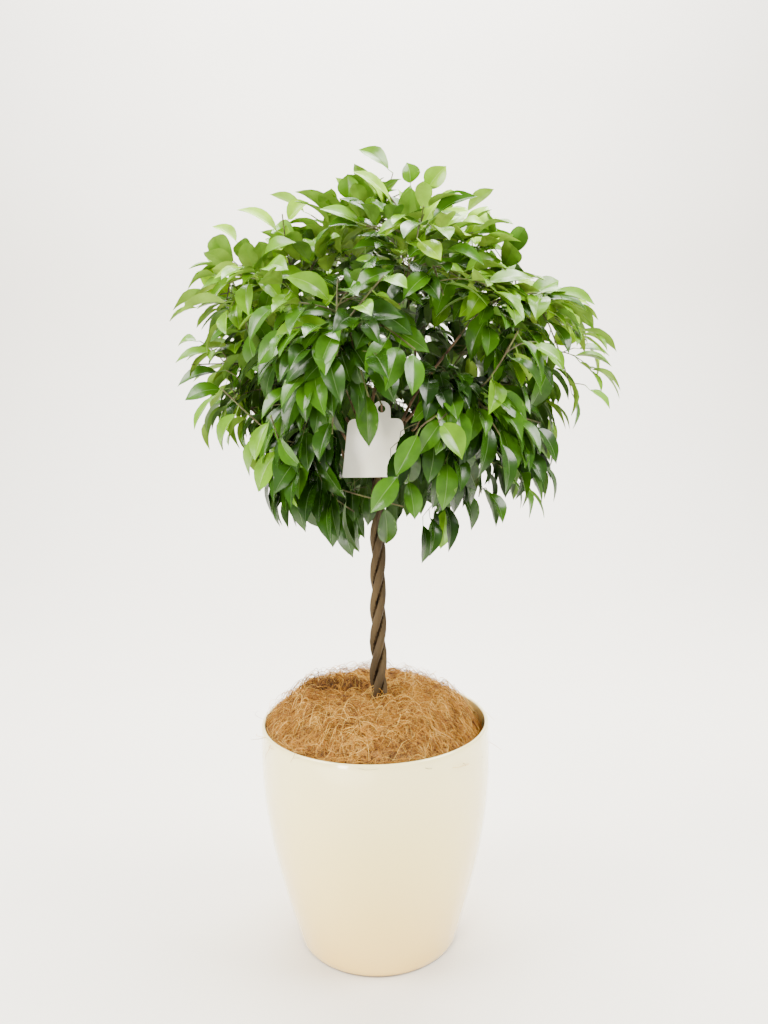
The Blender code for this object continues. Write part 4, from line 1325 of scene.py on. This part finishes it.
vertices = [Vector((*polar(radius, turn), z)) for radius, z in profile for turn in turns]
glaze = finish("pot_ivory_gloss", (0.9, 0.73, 0.33), 0.2, 0.6, 1.0, 0.05)
# The glaze's colour by height is painted light: a painted contact shadow at the foot, then a warm
# painted reflection of the floor low down that fades to paler ivory at the rim.
shaded_upwards(glaze, POT_HEIGHT, (
    (0.000, (0.2, 0.12, 0.04)),
    (0.0045, (0.88, 0.6, 0.15)),
    (0.08, (0.91, 0.67, 0.19)),
    (0.19, (0.94, 0.77, 0.29)),
    (0.3, (0.96, 0.85, 0.41)),
))
bumped(glaze, (9, 2), 0.03, 0.002)
pot = piece("pot_gloss", Pile().add(vertices, rings(len(profile), POT_TURNS)), [glaze], 35)
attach(pot, "root")
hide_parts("pot")

soil = finish("potting_compost", (0.055, 0.036, 0.024), 0.97, 0.1)
mottled(soil, (130, 8), (0.03, 0.019, 0.012), (0.09, 0.062, 0.04))
bumped(soil, (260, 6), 0.8, 0.004)
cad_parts["root_ball"].material_slots[0].material = soil

board = finish("card_blank", (0.96, 0.93, 0.8), 0.25, 0.5, 0.6, 0.08)
# The blank card is mottled from beige to near white: painted soft patches of light.
mottled(board, (14, 3), (0.8, 0.76, 0.58), (0.98, 0.96, 0.86), (0.3, 0.6))
bumped(board, (700, 3), 0.1, 0.0004)
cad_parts["card"].material_slots[0].material = board


# Floor, light and camera
FLOOR_HALF = 16.0
SWEEP_AT = 1.6  # how far behind the plant the floor starts to turn up, in a sweep with this radius
SWEEP_RADIUS = 1.2
SWEEP_STEPS = 16
SWEEP_TOP = 6.0
PIXELS_TALL = 1024
FOCAL_PIXELS = 884.8
PITCH = 0.1497
ROLL = -0.0176
EYE = Vector((0.0167, -1.1246, 0.7486))
WORLD_COLOUR = (1.0, 0.99, 0.97, 1)
WORLD_STRENGTH = 0.46
# Each softbox: its place, what it points at, its size, power and colour.
SOFTBOXES = {
    "key": ((-1.6, -0.5, 2.4), (0, 0, 0.75), (1.2, 1.2), 138, (1.0, 0.97, 0.91)),
    "side": ((1.7, -0.4, 2.1), (0, 0, 0.7), (1.2, 1.2), 142, (1.0, 0.98, 0.94)),
    "overhead": ((0.2, 0.6, 2.7), (0, 0, 0.75), (1.6, 1.6), 112, (1.0, 0.99, 0.95)),
    "fill": ((0.8, -2.6, 1.1), (0, 0, 0.45), (2.2, 2.0), 18, (1.0, 0.97, 0.93)),
    "low": ((-1.05, -1.9, 0.62), (0, 0, 0.18), (0.34, 1.2), 52, (1.0, 0.96, 0.88)),
    "bounce": ((-0.42, -0.8, 0.02), (-0.3, -0.55, 1.0), (0.9, 0.55), 6, (1.0, 0.9, 0.72)),
    "backdrop": ((0, 1.3, 3.4), (0, 2.8, 1.1), (3.6, 1.0), 330, (1.0, 1.0, 1.0)),
}

pale = finish("floor_pale", (0.8, 0.77, 0.71), 0.7, 0.2)
mottled(pale, (1.4, 2), (0.79, 0.76, 0.7), (0.81, 0.78, 0.72))
sweep = [(-FLOOR_HALF, 0.0), (SWEEP_AT, 0.0)]
for k in range(1, SWEEP_STEPS + 1):
    turn = math.pi / 2 * k / SWEEP_STEPS
    y, z = SWEEP_RADIUS * math.sin(turn), SWEEP_RADIUS * (1 - math.cos(turn))
    sweep.append((SWEEP_AT + y, z))
sweep.append((SWEEP_AT + SWEEP_RADIUS, SWEEP_TOP))
vertices = [Vector((x, y, z)) for x in (-FLOOR_HALF, FLOOR_HALF) for y, z in sweep]
count = len(sweep)
faces = [(i, count + i, count + i + 1, i + 1) for i in range(count - 1)]
floor = piece("floor", Pile().add(vertices, faces), [pale])

for name, (spot, target, size, power, colour) in SOFTBOXES.items():
    lamp = bpy.data.lights.new(name, "AREA")
    lamp.shape = "RECTANGLE"
    lamp.size, lamp.size_y = size
    lamp.energy = power
    lamp.color = colour
    obj = bpy.data.objects.new(name, lamp)
    obj.location = spot
    obj.rotation_euler = (Vector(target) - Vector(spot)).to_track_quat("-Z", "Y").to_euler()
    bpy.context.scene.collection.objects.link(obj)
world = bpy.data.worlds.new("studio")
world.use_nodes = True
world.node_tree.nodes["Background"].inputs["Color"].default_value = WORLD_COLOUR
world.node_tree.nodes["Background"].inputs["Strength"].default_value = WORLD_STRENGTH
bpy.context.scene.world = world

lens = bpy.data.cameras.new("camera")
lens.sensor_fit = "VERTICAL"
lens.sensor_height = 36
lens.lens = FOCAL_PIXELS / PIXELS_TALL * lens.sensor_height
camera = bpy.data.objects.new("camera", lens)
turned = Matrix.Rotation(math.pi / 2 - PITCH, 4, "X") @ Matrix.Rotation(ROLL, 4, "Z")
camera.matrix_world = Matrix.Translation(EYE) @ turned
bpy.context.scene.collection.objects.link(camera)
bpy.context.scene.camera = camera
